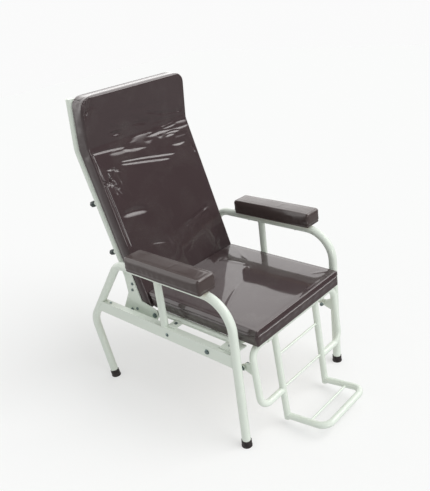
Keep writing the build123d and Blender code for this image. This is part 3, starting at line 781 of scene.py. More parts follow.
# ---------------------------------------------------------------- where things are
@dataclass(frozen=True)
class Layout:
    """The chair's main lines in metres, read from the frame's boxes and joints."""

    side_x: float
    tube_r: float
    front_leg_y: float
    post_y: float
    post_r: float
    rail_top: float
    rail_bottom: float
    arm_z: float
    pivot: Tuple[float, float]
    leg_pivot: Tuple[float, float]
    lean: float = math.radians(17.3)
    head_turn: float = math.radians(22.5)
    face_offset: float = 0.0217
    bend_at: float = 0.6635
    head_length: float = 0.187
    thickness: float = 0.066
    foot: float = 0.022
    half_width: float = 0.2575
    board_inset: float = 0.015
    board_depth: float = 0.012

    @staticmethod
    def read() -> "Layout":
        """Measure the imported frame."""
        frame_low, frame_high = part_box("side_frame_left")
        post_low, post_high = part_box("arm_post_left")
        rail_low, rail_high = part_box("side_rail_left")
        joints = {j["name"]: j for j in frame["joints"]}
        tube_r = (frame_high.x - frame_low.x) / 2
        return Layout(side_x=(frame_low.x + frame_high.x) / 2, tube_r=tube_r,
                      front_leg_y=frame_low.y + tube_r, post_y=(post_low.y + post_high.y) / 2,
                      post_r=(post_high.y - post_low.y) / 2, rail_top=rail_high.z, rail_bottom=rail_low.z,
                      arm_z=frame_high.z - tube_r, pivot=tuple(joints["back_recline"]["pos_m"][1:]),
                      leg_pivot=tuple(joints["leg_rest_swing"]["pos_m"][1:]))

    def back_place(self, along: float, behind: float) -> Tuple[float, float]:
        """Side-view place of a point on the straight back, along from the pivot and behind its face."""
        ahead = -self.face_offset - behind
        return (self.pivot[0] - ahead * math.cos(self.lean) + along * math.sin(self.lean),
                self.pivot[1] + ahead * math.sin(self.lean) + along * math.cos(self.lean))

    def head_place(self, up: float, behind: float) -> Tuple[float, float]:
        """Side-view place of a point on the head part, up from the bend and behind its face."""
        y, z = self.back_place(self.bend_at, 0.0)
        turn = self.lean - self.head_turn
        return (y + behind * math.cos(turn) + up * math.sin(turn),
                z - behind * math.sin(turn) + up * math.cos(turn))


# ---------------------------------------------------------------- padded shapes
def steps(length: float, edge: float, cell: float, marks: Sequence[float] = ()) -> np.ndarray:
    """Grid stations from 0 to length: close together in the rounded edges, even between, and at marks.

    Args:
        length: Last station.
        edge: Width of each rounded edge.
        cell: Largest step.
        marks: Stations to include.

    Returns:
        The stations in order.
    """
    inner = np.array([0.0, 0.22, 0.45, 0.7, 1.0]) * edge
    count = max(2, int(round((length - 2 * edge) / cell)))
    middle = np.linspace(edge, length - edge, count + 1)
    values = np.concatenate([inner, middle, length - inner, np.array(marks, float)])
    values = np.sort(values[(values >= 0) & (values <= length)])
    kept = [values[0]]
    for value in values[1:]:
        if value - kept[-1] > 0.0006:
            kept.append(value)
        elif abs(value - length) < 1e-9 or any(abs(value - m) < 1e-9 for m in marks):
            kept[-1] = value
    return np.array(kept)


@dataclass
class PaddedBlock:
    """A closed rounded block on a regular grid, in its own across, along and depth measures."""

    across: np.ndarray
    along: np.ndarray
    depth: np.ndarray
    edge: float
    grid: np.ndarray = field(init=False)
    faces: Faces = field(init=False)

    def __post_init__(self) -> None:
        """Number the surface points of the grid and join them up."""
        index: Dict[Tuple[int, int, int], int] = {}
        points: List[Point] = []
        last = (len(self.across) - 1, len(self.along) - 1, len(self.depth) - 1)

        def number(i: int, j: int, k: int) -> int:
            """Number of the grid point, made when first met."""
            if (i, j, k) not in index:
                index[(i, j, k)] = len(points)
                points.append((self.across[i], self.along[j], self.depth[k]))
            return index[(i, j, k)]

        faces: Faces = []
        for fixed, run, rise, flips in ((2, 0, 1, (True, False)), (1, 0, 2, (False, True)),
                                        (0, 1, 2, (True, False))):
            for stop, flip in zip((0, last[fixed]), flips):
                for a, b in ((a, b) for a in range(last[run]) for b in range(last[rise])):
                    cell = []
                    for more_a, more_b in ((0, 0), (1, 0), (1, 1), (0, 1)):
                        at = [stop, stop, stop]
                        at[run], at[rise] = a + more_a, b + more_b
                        cell.append(number(*at))
                    faces.append(tuple(cell[::-1] if flip else cell))
        self.grid = np.array(points)
        self.faces = faces

    def rounded(self, edge: Optional[float] = None) -> np.ndarray:
        """Grid points with the block's edges rounded off."""
        edge = self.edge if edge is None else edge
        low = np.array((self.across[0], self.along[0], self.depth[0]))
        high = np.array((self.across[-1], self.along[-1], self.depth[-1]))
        inner = np.clip(self.grid, low + edge, high - edge)
        out = self.grid - inner
        length = np.linalg.norm(out, axis=1, keepdims=True)
        return np.where(length > 1e-9, inner + out / np.maximum(length, 1e-9) * edge, self.grid)


def inflate(points: np.ndarray, faces: Faces, held: np.ndarray, cap: float, pressure: float = 4.0,
            frames: int = 20) -> np.ndarray:
    """Blow a closed skin up with Blender's cloth and cap how far each point moves.

    Args:
        points: the skin's points.
        faces: its faces.
        held: how firmly each point is held, from 0 to 1.
        cap: furthest that a point may move, in metres.
        pressure: pressure inside.
        frames: last frame of the simulation.

    Returns:
        The moved points.
    """
    obj = make_object("inflating", points, faces, None, smooth=False)
    group = obj.vertex_groups.new(name="held")
    for number in np.nonzero(held > 0.001)[0]:
        group.add([int(number)], float(held[number]), "REPLACE")
    modifier = obj.modifiers.new("cloth", "CLOTH")
    cloth = modifier.settings
    cloth.quality = 5
    cloth.mass = 0.3
    cloth.tension_stiffness = cloth.compression_stiffness = 12.0
    cloth.shear_stiffness = 5.0
    cloth.bending_stiffness = 0.4
    cloth.use_pressure = True
    cloth.uniform_pressure_force = pressure
    cloth.vertex_group_mass = "held"
    cloth.effector_weights.gravity = 0.0
    modifier.collision_settings.use_collision = False
    modifier.point_cache.frame_start = 1
    modifier.point_cache.frame_end = frames
    scene = bpy.context.scene
    for number in range(1, frames + 1):
        scene.frame_set(number)
    evaluated = obj.evaluated_get(bpy.context.evaluated_depsgraph_get())
    moved = np.zeros(len(points) * 3)
    evaluated.data.vertices.foreach_get("co", moved)
    moved = moved.reshape(-1, 3)
    scene.frame_set(1)
    bpy.data.objects.remove(obj)
    shift = moved - points
    length = np.linalg.norm(shift, axis=1, keepdims=True)
    log.info("inflated: furthest %.1f mm, mean %.1f mm", length.max() / MM, length.mean() / MM)
    return points + shift / np.maximum(length, 1e-9) * cap * np.tanh(length / cap)


def vertex_normals(points: np.ndarray, faces: Faces) -> np.ndarray:
    """Unit normal of each point of a quad mesh.

    Args:
        points: The points.
        faces: The quads.

    Returns:
        One unit vector for each point.
    """
    quads = np.array(faces)
    a, b, c, d = (points[quads[:, n]] for n in range(4))
    normal = np.cross(c - a, d - b)
    total = np.zeros_like(points)
    for n in range(4):
        np.add.at(total, quads[:, n], normal)
    return total / np.maximum(np.linalg.norm(total, axis=1, keepdims=True), 1e-12)


def ridge(u: np.ndarray, v: np.ndarray, start: Tuple[float, float], end: Tuple[float, float],
          width: float, bow: float = 0.0) -> np.ndarray:
    """Height field of one pulled fold between two places on a panel.

    Args:
        u: first coordinate of each point on the panel.
        v: second coordinate.
        start: where the fold begins.
        end: where it dies out.
        width: its half width.
        bow: how far its middle bends aside.

    Returns:
        Height from 0 to 1 at each point.
    """
    a, b = np.array(start), np.array(end)
    length = np.linalg.norm(b - a)
    way = (b - a) / length
    run = (u - a[0]) * way[0] + (v - a[1]) * way[1]
    off = (u - a[0]) * -way[1] + (v - a[1]) * way[0]
    share = np.clip(run / length, 0, 1)
    off = off - bow * np.sin(math.pi * share)
    taper = np.sin(math.pi * share) ** 0.7
    fade = np.clip(np.minimum(run + width, length + width - run) / (3 * width), 0, 1)
    return np.exp(-(off / (width * (0.55 + 0.45 * taper))) ** 2) * fade * (0.35 + 0.65 * taper)


def crumples(u: np.ndarray, v: np.ndarray, seed: int, count: int, area: Tuple[float, float, float, float],
             rise: Tuple[float, float], width: Tuple[float, float], tilt: Tuple[float, float]) -> np.ndarray:
    """Height field of many short folds strewn over an area of a panel.

    Args:
        u: first coordinate of each point on the panel.
        v: second coordinate.
        seed: seed of the draws.
        count: how many folds.
        area: lowest and highest u, then lowest and highest v, of their middles.
        rise: least and greatest height.
        width: least and greatest half width.
        tilt: least and greatest angle from the u direction, in radians.

    Returns:
        Height in metres at each point.
    """
    draws = np.random.default_rng(seed)
    total = np.zeros(len(u))
    for _ in range(count):
        middle = np.array((draws.uniform(*area[:2]), draws.uniform(*area[2:])))
        half = draws.uniform(0.012, 0.055)
        angle = draws.uniform(*tilt)
        reach = half * np.array((math.cos(angle), math.sin(angle)))
        total += draws.uniform(*rise) * ridge(u, v, tuple(middle - reach), tuple(middle + reach),
                                              draws.uniform(*width), draws.uniform(-0.005, 0.005))
    return total


def pillow_crown(u: np.ndarray, v: np.ndarray) -> np.ndarray:
    """Crown of a panel from 0 at its rim to 1 in its middle; u and v run from -1 to 1."""
    return np.clip(1 - u ** 4, 0, 1) ** 0.8 * np.clip(1 - v ** 4, 0, 1) ** 0.8


def slow_noise(points: np.ndarray, seed: int, wave: float) -> np.ndarray:
    """Smooth noise from -1 to 1 made of a few seeded waves of about the given length.

    Args:
        points: Where to read it.
        seed: Seed of its draws.
        wave: Wave length.

    Returns:
        One value for each point.
    """
    draws = np.random.default_rng(seed)
    total = np.zeros(len(points))
    for _ in range(7):
        way = draws.normal(size=3)
        way *= 2 * math.pi / (wave * draws.uniform(0.7, 1.6) * np.linalg.norm(way))
        total += np.sin(points @ way + draws.uniform(0, 2 * math.pi))
    return total / 3.5


@dataclass
class Skin:
    """A cushion's surface: its places, and where each point lies on the square and the rounded block."""

    points: np.ndarray
    faces: Faces
    grid: np.ndarray
    flat: np.ndarray

    def refined(self) -> "Skin":
        """Subdivide once and smooth, carrying the block places along.

        Returns:
            The finer skin.
        """
        obj = make_object("refining", self.points, self.faces, None, smooth=False, recalc=False)
        for name, values in (("grid", self.grid), ("flat", self.flat)):
            layer = obj.data.attributes.new(name, "FLOAT_VECTOR", "POINT")
            layer.data.foreach_set("vector", values.astype(np.float32).ravel())
        smooth = obj.modifiers.new("smooth", "SUBSURF")
        smooth.levels = smooth.render_levels = 1
        mesh = obj.evaluated_get(bpy.context.evaluated_depsgraph_get()).data
        count = len(mesh.vertices)
        places, grid, flat = (np.zeros(count * 3, np.float32) for _ in range(3))
        mesh.vertices.foreach_get("co", places)
        mesh.attributes["grid"].data.foreach_get("vector", grid)
        mesh.attributes["flat"].data.foreach_get("vector", flat)
        corners = np.zeros(len(mesh.polygons) * 4, np.int32)
        mesh.loops.foreach_get("vertex_index", corners)
        faces = [tuple(quad) for quad in corners.reshape(-1, 4).tolist()]
        bpy.data.objects.remove(obj)
        return Skin(places.reshape(-1, 3).astype(float), faces,
                    grid.reshape(-1, 3).astype(float), flat.reshape(-1, 3).astype(float))


@dataclass
class Cushion:
    """What every cushion shares: its finish, body, CAD node and how it's blown up."""

    name: str
    node: str
    body: str
    slot: str
    finish: Finish
    cap: float = 0.008
    fill: float = 0.7
    cell: float = 0.008

    def skin(self) -> Tuple[PaddedBlock, np.ndarray, np.ndarray]:
        """The block, its first shape in the row frame, and how firmly each point is held."""
        raise NotImplementedError

    def detail(self, skin: Skin, normals: np.ndarray) -> np.ndarray:
        """Seams, folds and recesses added after the simulation."""
        raise NotImplementedError

    def build(self) -> bpy.types.Object:
        """Make the finished cushion.

        Returns:
            The object, riding on its body.
        """
        block, points, held = self.skin()
        points = inflate(points, block.faces, held, self.cap)
        skin = Skin(points, block.faces, block.grid, self.flat).refined()
        points = self.detail(skin, vertex_normals(skin.points, skin.faces))
        obj = make_object(self.name, points, skin.faces, self.finish)
        obj.data.shade_smooth()
        settle(obj, self.body, [self.node])
        return obj


@dataclass
class SeatCushion(Cushion):
    """Boxed seat pad: a tight top panel over a sewn boxing band, wrapped round a plywood board."""

    seam_drop: float = 0.021
    shrink: float = 0.0015

    def skin(self) -> Tuple[PaddedBlock, np.ndarray, np.ndarray]:
        """Block in across, depth from the front, and height from the board."""
        low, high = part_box(self.node)
        self.low, self.high = low, high
        width, height = high.x - low.x, high.z - low.z
        lay = LAYOUT
        rear_gap = 0.005
        self.rear_low = lay.back_place((low.z - lay.pivot[1]) / math.cos(lay.lean), -rear_gap)[0]
        self.rear_high = lay.back_place((high.z - lay.pivot[1]) / math.cos(lay.lean), -rear_gap)[0]
        length = self.rear_low - low.y
        inset = lay.board_inset
        rim = (inset - 0.001, inset)
        block = PaddedBlock(steps(width, 0.007, self.cell, [*rim, width - rim[0], width - rim[1]]),
                            steps(length, 0.007, self.cell, [*rim, length - rim[0], length - rim[1]]),
                            steps(height, 0.007, 0.004), 0.007)
        self.size = (width, length, height)
        self.flat = block.rounded()
        points = self.place(block.rounded())
        across, along, depth = (block.grid / np.array(self.size)).T
        crown = pillow_crown(across * 2 - 1, along * 2 - 1)
        points[:, 2] += (depth > 0.99) * crown * 0.0025
        side = np.minimum(np.minimum(across, 1 - across), np.minimum(along, 1 - along)) < 1e-6
        held = np.where(depth < 0.01, 1.0, 0.0)
        held = np.where(side & (depth < 0.35), 0.75, held)
        held = np.where((depth > 0.99) & ~side, 0.35, held)
        return block, points, held

    def place(self, local: np.ndarray) -> np.ndarray:
        """Row-frame places of block points."""
        width, length, height = self.size
        u, v, t = local.T
        rear = self.rear_low + (self.rear_high - self.rear_low) * t / height
        y = self.low.y + self.shrink + v / length * (rear - self.low.y - 2 * self.shrink)
        x = (u - width / 2) * (1 - 2 * self.shrink / width)
        return np.column_stack([x, y, self.low.z + t * (1 - self.shrink / height)])

    def detail(self, skin: Skin, normals: np.ndarray) -> np.ndarray:
        """Seam round the boxing, rolled top rim, pulled corners, folds on the top and the board's recess."""
        width, length, height = self.size
        points = skin.points
        u, v, t = skin.grid.T
        rim = np.minimum(np.minimum(u, width - u), np.minimum(v, length - v))
        side = rim < 1e-6
        seam = height - self.seam_drop
        height_now = skin.flat[:, 2]
        groove = np.exp(-((height_now - seam) / 0.0021) ** 2)
        lip = np.exp(-((height_now - seam - 0.006) / 0.004) ** 2)
        lift = np.where(side, -0.0032 * groove + 0.0011 * lip, 0.0)
        top = t > height - 1e-6
        roll = np.exp(-((rim - 0.012) / 0.006) ** 2) * top
        lift += -0.0006 * roll
        pucker = np.sin(np.where(np.minimum(u, width - u) < 1e-6, v, u) * 2 * math.pi / 0.047
                        + 1.3 * np.sin(v * 31) + 0.8 * np.sin(u * 23))
        lift += np.where(side, 0.0005 * pucker * np.exp(-((height_now - seam + 0.012) / 0.014) ** 2), 0.0)
        x, y = points[:, 0], points[:, 1]
        folds = [((-0.200, -0.165), (-0.020, -0.085), 0.006, 0.004, 0.0011),
                 ((0.030, -0.095), (0.115, -0.020), 0.005, -0.003, 0.0009),
                 ((0.095, 0.100), (0.110, -0.012), 0.006, 0.002, 0.0010),
                 ((-0.150, 0.120), (-0.060, 0.060), 0.007, 0.003, 0.0008),
                 ((0.215, 0.130), (0.150, 0.020), 0.008, -0.004, 0.0007),
                 ((-0.225, -0.320), (-0.165, -0.265), 0.006, 0.0, 0.0009),
                 ((0.225, -0.318), (0.170, -0.270), 0.006, 0.0, 0.0008)]
        for start, end, fold_width, bow, rise in folds:
            lift += np.where(top, rise * ridge(x, y, start, end, fold_width, bow), 0.0)
        lift += np.where(top, 0.00022 * slow_noise(points, 5, 0.16), 0.0) * np.clip(rim / 0.03, 0, 1)
        points = points + normals * lift[:, None]
        under = (t < 1e-6) & (rim > LAYOUT.board_inset - 0.0003)
        points[under, 2] = self.low.z + LAYOUT.board_depth + 0.0006
        return points


@dataclass
class BackCushion(Cushion):
    """One-piece back pad bent forward at the head, with a boxed edge and folds pulled at the bend."""

    corner: float = 0.042
    bend_radius: float = 0.03
    shrink: float = 0.002

    def skin(self) -> Tuple[PaddedBlock, np.ndarray, np.ndarray]:
        """Block in across, length up the back, and depth behind its face."""
        lay = LAYOUT
        self.size = (2 * lay.half_width, lay.bend_at - lay.foot + lay.head_length, lay.thickness)
        width, length, thick = self.size
        self.bend = lay.bend_at - lay.foot
        drop = (lay.thickness + 0.015) * math.tan(lay.head_turn / 2)
        reach = 0.090 * math.tan(lay.head_turn / 2) + 0.012
        self.board_spans = ((lay.board_inset, self.bend + drop - reach), (self.bend + reach, length - 0.020))
        edge = 0.0006
        rims = [s + d for span in self.board_spans for s, d in zip(span, (-edge, edge))]
        rims += [s - d for span in self.board_spans for s, d in zip(span, (-edge, edge))]
        side = lay.board_inset
        block = PaddedBlock(
            steps(width, 0.009, self.cell, [side - edge, side + edge, width - side + edge,
                                            width - side - edge, *np.arange(0.0185, 0.028, 0.003)]),
            steps(length, 0.009, self.cell, [*rims, *np.arange(self.bend - 0.17, self.bend + 0.07, 0.0035)]),
            steps(thick, 0.009, 0.0045), 0.009)
        self.flat = self.round_corners(block.rounded())
        points = self.place(self.flat)
        u, v, t = block.grid.T
        rim = np.minimum(np.minimum(u, width - u), np.minimum(v, length - v)) < 1e-6
        held = np.where(t > thick - 1e-6, 1.0, 0.0)
        held = np.where(rim & (t > thick * 0.7), 0.8, held)
        held = np.where((t < 1e-6) & ~rim, 0.3, held)
        held = np.maximum(held, np.exp(-((v - self.bend) / 0.02) ** 2) * 0.8)
        return block, points, held

    def round_corners(self, local: np.ndarray) -> np.ndarray:
        """Round the two top corners in plan by turning each corner's square into a quarter disc."""
        width, length, _ = self.size
        out = local.copy()
        a = np.abs(local[:, 0] - width / 2) - (width / 2 - self.corner)
        b = local[:, 1] - (length - self.corner)
        inside = (a > 0) & (b > 0)
        reach = np.maximum(a, b)[inside]
        scale = reach / np.maximum(np.hypot(a[inside], b[inside]), 1e-9)
        sign = np.sign(local[inside, 0] - width / 2)
        out[inside, 0] = width / 2 + sign * (width / 2 - self.corner + a[inside] * scale)
        out[inside, 1] = length - self.corner + b[inside] * scale
        return out

    def place(self, local: np.ndarray) -> np.ndarray:
        """Row-frame places: straight below the bend, turned forward above it, with an arc between."""
        lay = LAYOUT
        width, length, thick = self.size
        u, v, t = local.T
        v = self.shrink + v / length * (length - 1.5 * self.shrink)
        t = self.shrink * 0.5 + t / thick * (thick - self.shrink * 0.5)
        half = math.tan(lay.head_turn / 2)
        run = self.bend_radius * half
        arc = self.bend_radius * lay.head_turn
        stretch = 1.0 + (2 * run - arc) / 0.12
        near = np.clip((v - self.bend) / 0.06, -1, 1) * 0.06
        far = v - self.bend - near
        path = near / stretch + far
        limit = arc / 2
        angle = np.clip((path + limit) / arc, 0, 1) * lay.head_turn
        over = np.where(path > limit, path - limit, np.where(path < -limit, path + limit, 0.0))
        low_y, low_z = lay.back_place(lay.bend_at - run, 0.0)
        centre_y = low_y - self.bend_radius * math.cos(lay.lean)
        centre_z = low_z + self.bend_radius * math.sin(lay.lean)
        tilt = lay.lean - angle
        y = centre_y + (self.bend_radius + t) * np.cos(tilt) + over * np.sin(tilt)
        z = centre_z - (self.bend_radius + t) * np.sin(tilt) + over * np.cos(tilt)
        return np.column_stack([(u - width / 2) * (1 - 2 * self.shrink / width), y, z])

    def detail(self, skin: Skin, normals: np.ndarray) -> np.ndarray:
        """Piped rim, pulled folds at the bend, loose folds of the skin, and the boards' recesses."""
        width, length, thick = self.size
        points = skin.points
        u, v, t = skin.flat.T
        grid_u, grid_v, grid_t = skin.grid.T
        x, up = u - width / 2, v - self.bend
        rim = np.minimum(np.minimum(grid_u, width - grid_u), np.minimum(grid_v, length - grid_v))
        side = rim < 1e-6
        front = grid_t < 1e-6
        lift = np.where(side, -0.0003 * np.exp(-((t - 0.0125) / 0.0030) ** 2), 0.0)
        folds = [((-0.256, -0.018), (-0.100, -0.031), 0.0042, 0.003, 0.0034),
                 ((-0.136, -0.078), (0.122, -0.121), 0.0045, 0.003, 0.0032),
                 ((-0.140, -0.089), (0.090, -0.133), 0.0042, 0.002, 0.0034),
                 ((-0.249, -0.005), (-0.238, -0.395), 0.0046, 0.0015, 0.0044),
                 ((0.080, -0.018), (0.250, -0.030), 0.006, -0.003, 0.0020),
                 ((0.120, -0.036), (0.190, -0.040), 0.0042, 0.002, 0.0026),
                 ((0.132, -0.086), (0.200, -0.091), 0.0045, -0.002, 0.0030),
                 ((0.225, -0.100), (0.238, -0.150), 0.005, 0.002, 0.0022),
                 ((-0.212, -0.090), (-0.158, -0.112), 0.0042, 0.006, 0.0032),
                 ((-0.165, -0.106), (-0.192, -0.165), 0.0045, 0.005, 0.0024),
                 ((-0.214, -0.120), (-0.205, -0.150), 0.004, -0.004, 0.0022),
                 ((-0.205, -0.140), (-0.200, -0.215), 0.005, 0.002, 0.0014),
                 ((-0.228, -0.268), (-0.095, -0.288), 0.0125, 0.006, 0.0046),
                 ((-0.150, -0.412), (-0.070, -0.436), 0.005, 0.003, 0.0019),
                 ((0.247, -0.371), (0.040, -0.416), 0.007, -0.004, 0.0014),
                 ((-0.018, -0.470), (-0.056, -0.520), 0.005, 0.008, 0.0028),
                 ((0.020, 0.020), (0.245, 0.012), 0.007, 0.003, 0.0014),
                 ((-0.100, 0.045), (0.110, 0.022), 0.009, 0.004, 0.0012),
                 ((-0.060, 0.100), (0.190, 0.085), 0.010, -0.004, 0.0010),
                 ((-0.235, 0.160), (-0.190, 0.140), 0.006, 0.0, 0.0016),
                 ((-0.243, 0.150), (-0.240, 0.105), 0.004, 0.0, 0.0018)]
        for start, end, fold_width, bow, rise in folds:
            lift += np.where(front, rise * ridge(x, up, start, end, fold_width, bow), 0.0)
        # seed, how many, span across and along, then the spans of rise, width and tilt
        patches = [(41, 34, (-0.16, 0.235, -0.065, 0.065), (0.0006, 0.0021), (0.0038, 0.0080), (-0.30, 0.12)),
                   (42, 12, (-0.20, 0.20, 0.03, 0.15), (0.0003, 0.0010), (0.005, 0.009), (-0.25, 0.1)),
                   (43, 9, (-0.235, -0.165, -0.165, -0.075), (0.0018, 0.0038), (0.0027, 0.0042), (-1.6, 1.6)),
                   (44, 9, (0.0, 0.235, -0.55, -0.36), (0.0005, 0.0014), (0.004, 0.008), (0.1, 0.6)),
                   (45, 6, (-0.247, -0.222, 0.130, 0.172), (0.0014, 0.0030), (0.0025, 0.004), (0.3, 1.4))]
        film = sum(crumples(x, up, *patch) for patch in patches)
        lift += np.where(front, film, 0.0)
        lift += np.where(front, 0.0011 * slow_noise(points, 11, 0.13), 0.0) * np.clip(rim / 0.03, 0, 1)
        pucker = np.sin(v * 2 * math.pi / 0.06 + 1.7 * np.sin(v * 19))
        lift += np.where(side, 0.0003 * pucker * np.exp(-((t - 0.034) / 0.013) ** 2), 0.0)
        for corner_x, strength in ((-0.236, 0.0015), (0.236, 0.0006)):
            near = np.exp(-((x - corner_x) ** 2 + (up - 0.166) ** 2) / 0.024 ** 2)
            lift += np.where(grid_t < thick * 0.6, strength * near * slow_noise(points, 47, 0.02), 0.0)
        crowned = np.exp(-((t - 0.62 * thick) / (0.42 * thick)) ** 2) * (grid_v > length - 1e-6)
        lift += 0.0045 * crowned * np.clip((width / 2 - np.abs(x)) / 0.05, 0, 1)
        points = points + normals * lift[:, None]
        rear = grid_t > thick - 1e-6
        for low, high in self.board_spans:
            under = rear & (grid_v > low - 0.0003) & (grid_v < high + 0.0003) & (
                np.minimum(grid_u, width - grid_u) > LAYOUT.board_inset - 0.0003)
            sunk = self.place(np.column_stack([u, v, np.full(len(u), thick - LAYOUT.board_depth - 0.0008)]))
            points[under] = sunk[under]
        return points


@dataclass
class ArmPad(Cushion):
    """Arm pad: a soft block with a rolled top edge and a tucked lower edge, on its board."""

    side: Side = Side.LEFT
    shrink: float = 0.0015

    def skin(self) -> Tuple[PaddedBlock, np.ndarray, np.ndarray]:
        """Block in across, along the arm, and height."""
        low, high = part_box(self.node)
        self.low = low
        self.size = tuple(high - low)
        width, length, height = self.size
        block = PaddedBlock(steps(width, 0.011, 0.006, [0.0094, 0.0106, width - 0.0094, width - 0.0106]),
                            steps(length, 0.011, self.cell,
                                  [0.0094, 0.0106, length - 0.0094, length - 0.0106]),
                            steps(height, 0.011, 0.005), 0.011)
        self.flat = block.rounded()
        margin = np.array((self.shrink, self.shrink, 0.0))
        scale = (np.array(self.size) - np.array((2, 2, 1)) * self.shrink) / np.array(self.size)
        points = self.flat * scale + margin + np.array(low)
        u, v, t = (block.grid / np.array(self.size)).T
        crown = pillow_crown(u * 2 - 1, v * 2 - 1)
        points[:, 2] += (t > 0.99) * crown * 0.002
        side = np.minimum(np.minimum(u, 1 - u), np.minimum(v, 1 - v)) < 1e-6
        held = np.where(t < 0.01, 1.0, np.where(side & (t < 0.3), 0.8, 0.0))
        held = np.where((t > 0.99) & ~side, 0.3, held)
        return block, points, held

    def detail(self, skin: Skin, normals: np.ndarray) -> np.ndarray:
        """Tuck line low on the sides, rolled top edge, pulled corners and soft dents."""
        width, length, height = self.size
        points = skin.points
        u, v, t = skin.grid.T
        now = skin.flat[:, 2]
        rim = np.minimum(np.minimum(u, width - u), np.minimum(v, length - v))
        side = rim < 1e-6
        top = t > height - 1e-6
        lift = np.where(side, -0.0016 * np.exp(-((now - 0.012) / 0.0026) ** 2)
                        + 0.0008 * np.exp(-((now - 0.019) / 0.005) ** 2), 0.0)
        lift += np.where(top, 0.0006 * np.exp(-((rim - 0.006) / 0.004) ** 2)
                         - 0.0004 * np.exp(-((rim - 0.015) / 0.006) ** 2), 0.0)
        pull = np.sin(v * 2 * math.pi / 0.034 + 2.0 * np.sin(v * 27))
        lift += np.where(side, 0.0005 * pull * np.exp(-((now - 0.026) / 0.012) ** 2), 0.0)
        lift += 0.0004 * slow_noise(points, 21 + self.side.value, 0.09) * (t > 1e-6)
        seed_x = self.side.value * 0.012
        folds = (((width * 0.2, length * 0.42), (width * 0.8, length * 0.40), 0.0009),
                 ((width * 0.3 + seed_x, length * 0.08), (width * 0.75, length * 0.13), 0.0004))
        for start, end, rise in folds:
            lift += np.where(top, rise * ridge(u, v, start, end, 0.005, 0.002), 0.0)
        points = points + normals * lift[:, None]
        under = (t < 1e-6) & (rim > 0.0097)
        points[under, 2] = self.low.z + 0.010 + 0.0005
        return points


LAYOUT = Layout.read()
FINISHES = FinishSet()


# ---------------------------------------------------------------- hardware
@dataclass
class FootCaps:
    """Ribbed rubber ferrules on the four feet, flat where they stand."""

    radius: float = 0.0193
    height: float = 0.027

    def profile(self) -> List[Tuple[float, float, Section]]:
        """Rings from the sole up: flared sole, two ribs, and a rolled mouth."""
        r = self.radius
        rings = [(r * 0.93, -0.009), (r * 1.0, -0.0072), (r * 1.02, 0.0), (r * 1.02, 0.0032),
                 (r * 0.985, 0.0052), (r * 0.935, 0.0068)]
        for start in (0.0095, 0.0150):
            rings += [(r * 0.925, start), (r * 0.965, start + 0.0011), (r * 0.97, start + 0.0024),
                      (r * 0.92, start + 0.0036)]
        rings += [(r * 0.905, 0.0215), (r * 0.95, 0.0232), (r * 0.965, 0.0248), (r * 0.93, 0.0264),
                  (LAYOUT.tube_r + 0.0002, self.height), (LAYOUT.tube_r - 0.001, self.height - 0.001)]
        return [(radius, height, Section.ROUND) for radius, height in rings]

    def build(self) -> None:
        """Turn each cap along its leg and cut its sole level with the floor."""
        low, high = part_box("foot_cap_rear_left")
        rear_y = (low.y + high.y) / 2 - 0.0028
        lean = np.array((0.0, 0.2134, 0.977))
        for side in Side:
            for end, y, way in (("front", LAYOUT.front_leg_y, np.array((0.0, 0.0, 1.0))),
                                ("rear", rear_y, lean)):
                shape = Shape()
                shape.turn(self.profile(), (side.value * LAYOUT.side_x, y, 0.0), way, 48)
                points = shape.points[0]
                below = points[:, 2] < 0
                points[below] -= np.outer(points[below, 2] / way[2], way)
                name = "foot_cap_" + end + "_" + side.name.lower()
                shape.build(name + "_rubber", FINISHES.rubber, "chair_frame", "rubber", [name])


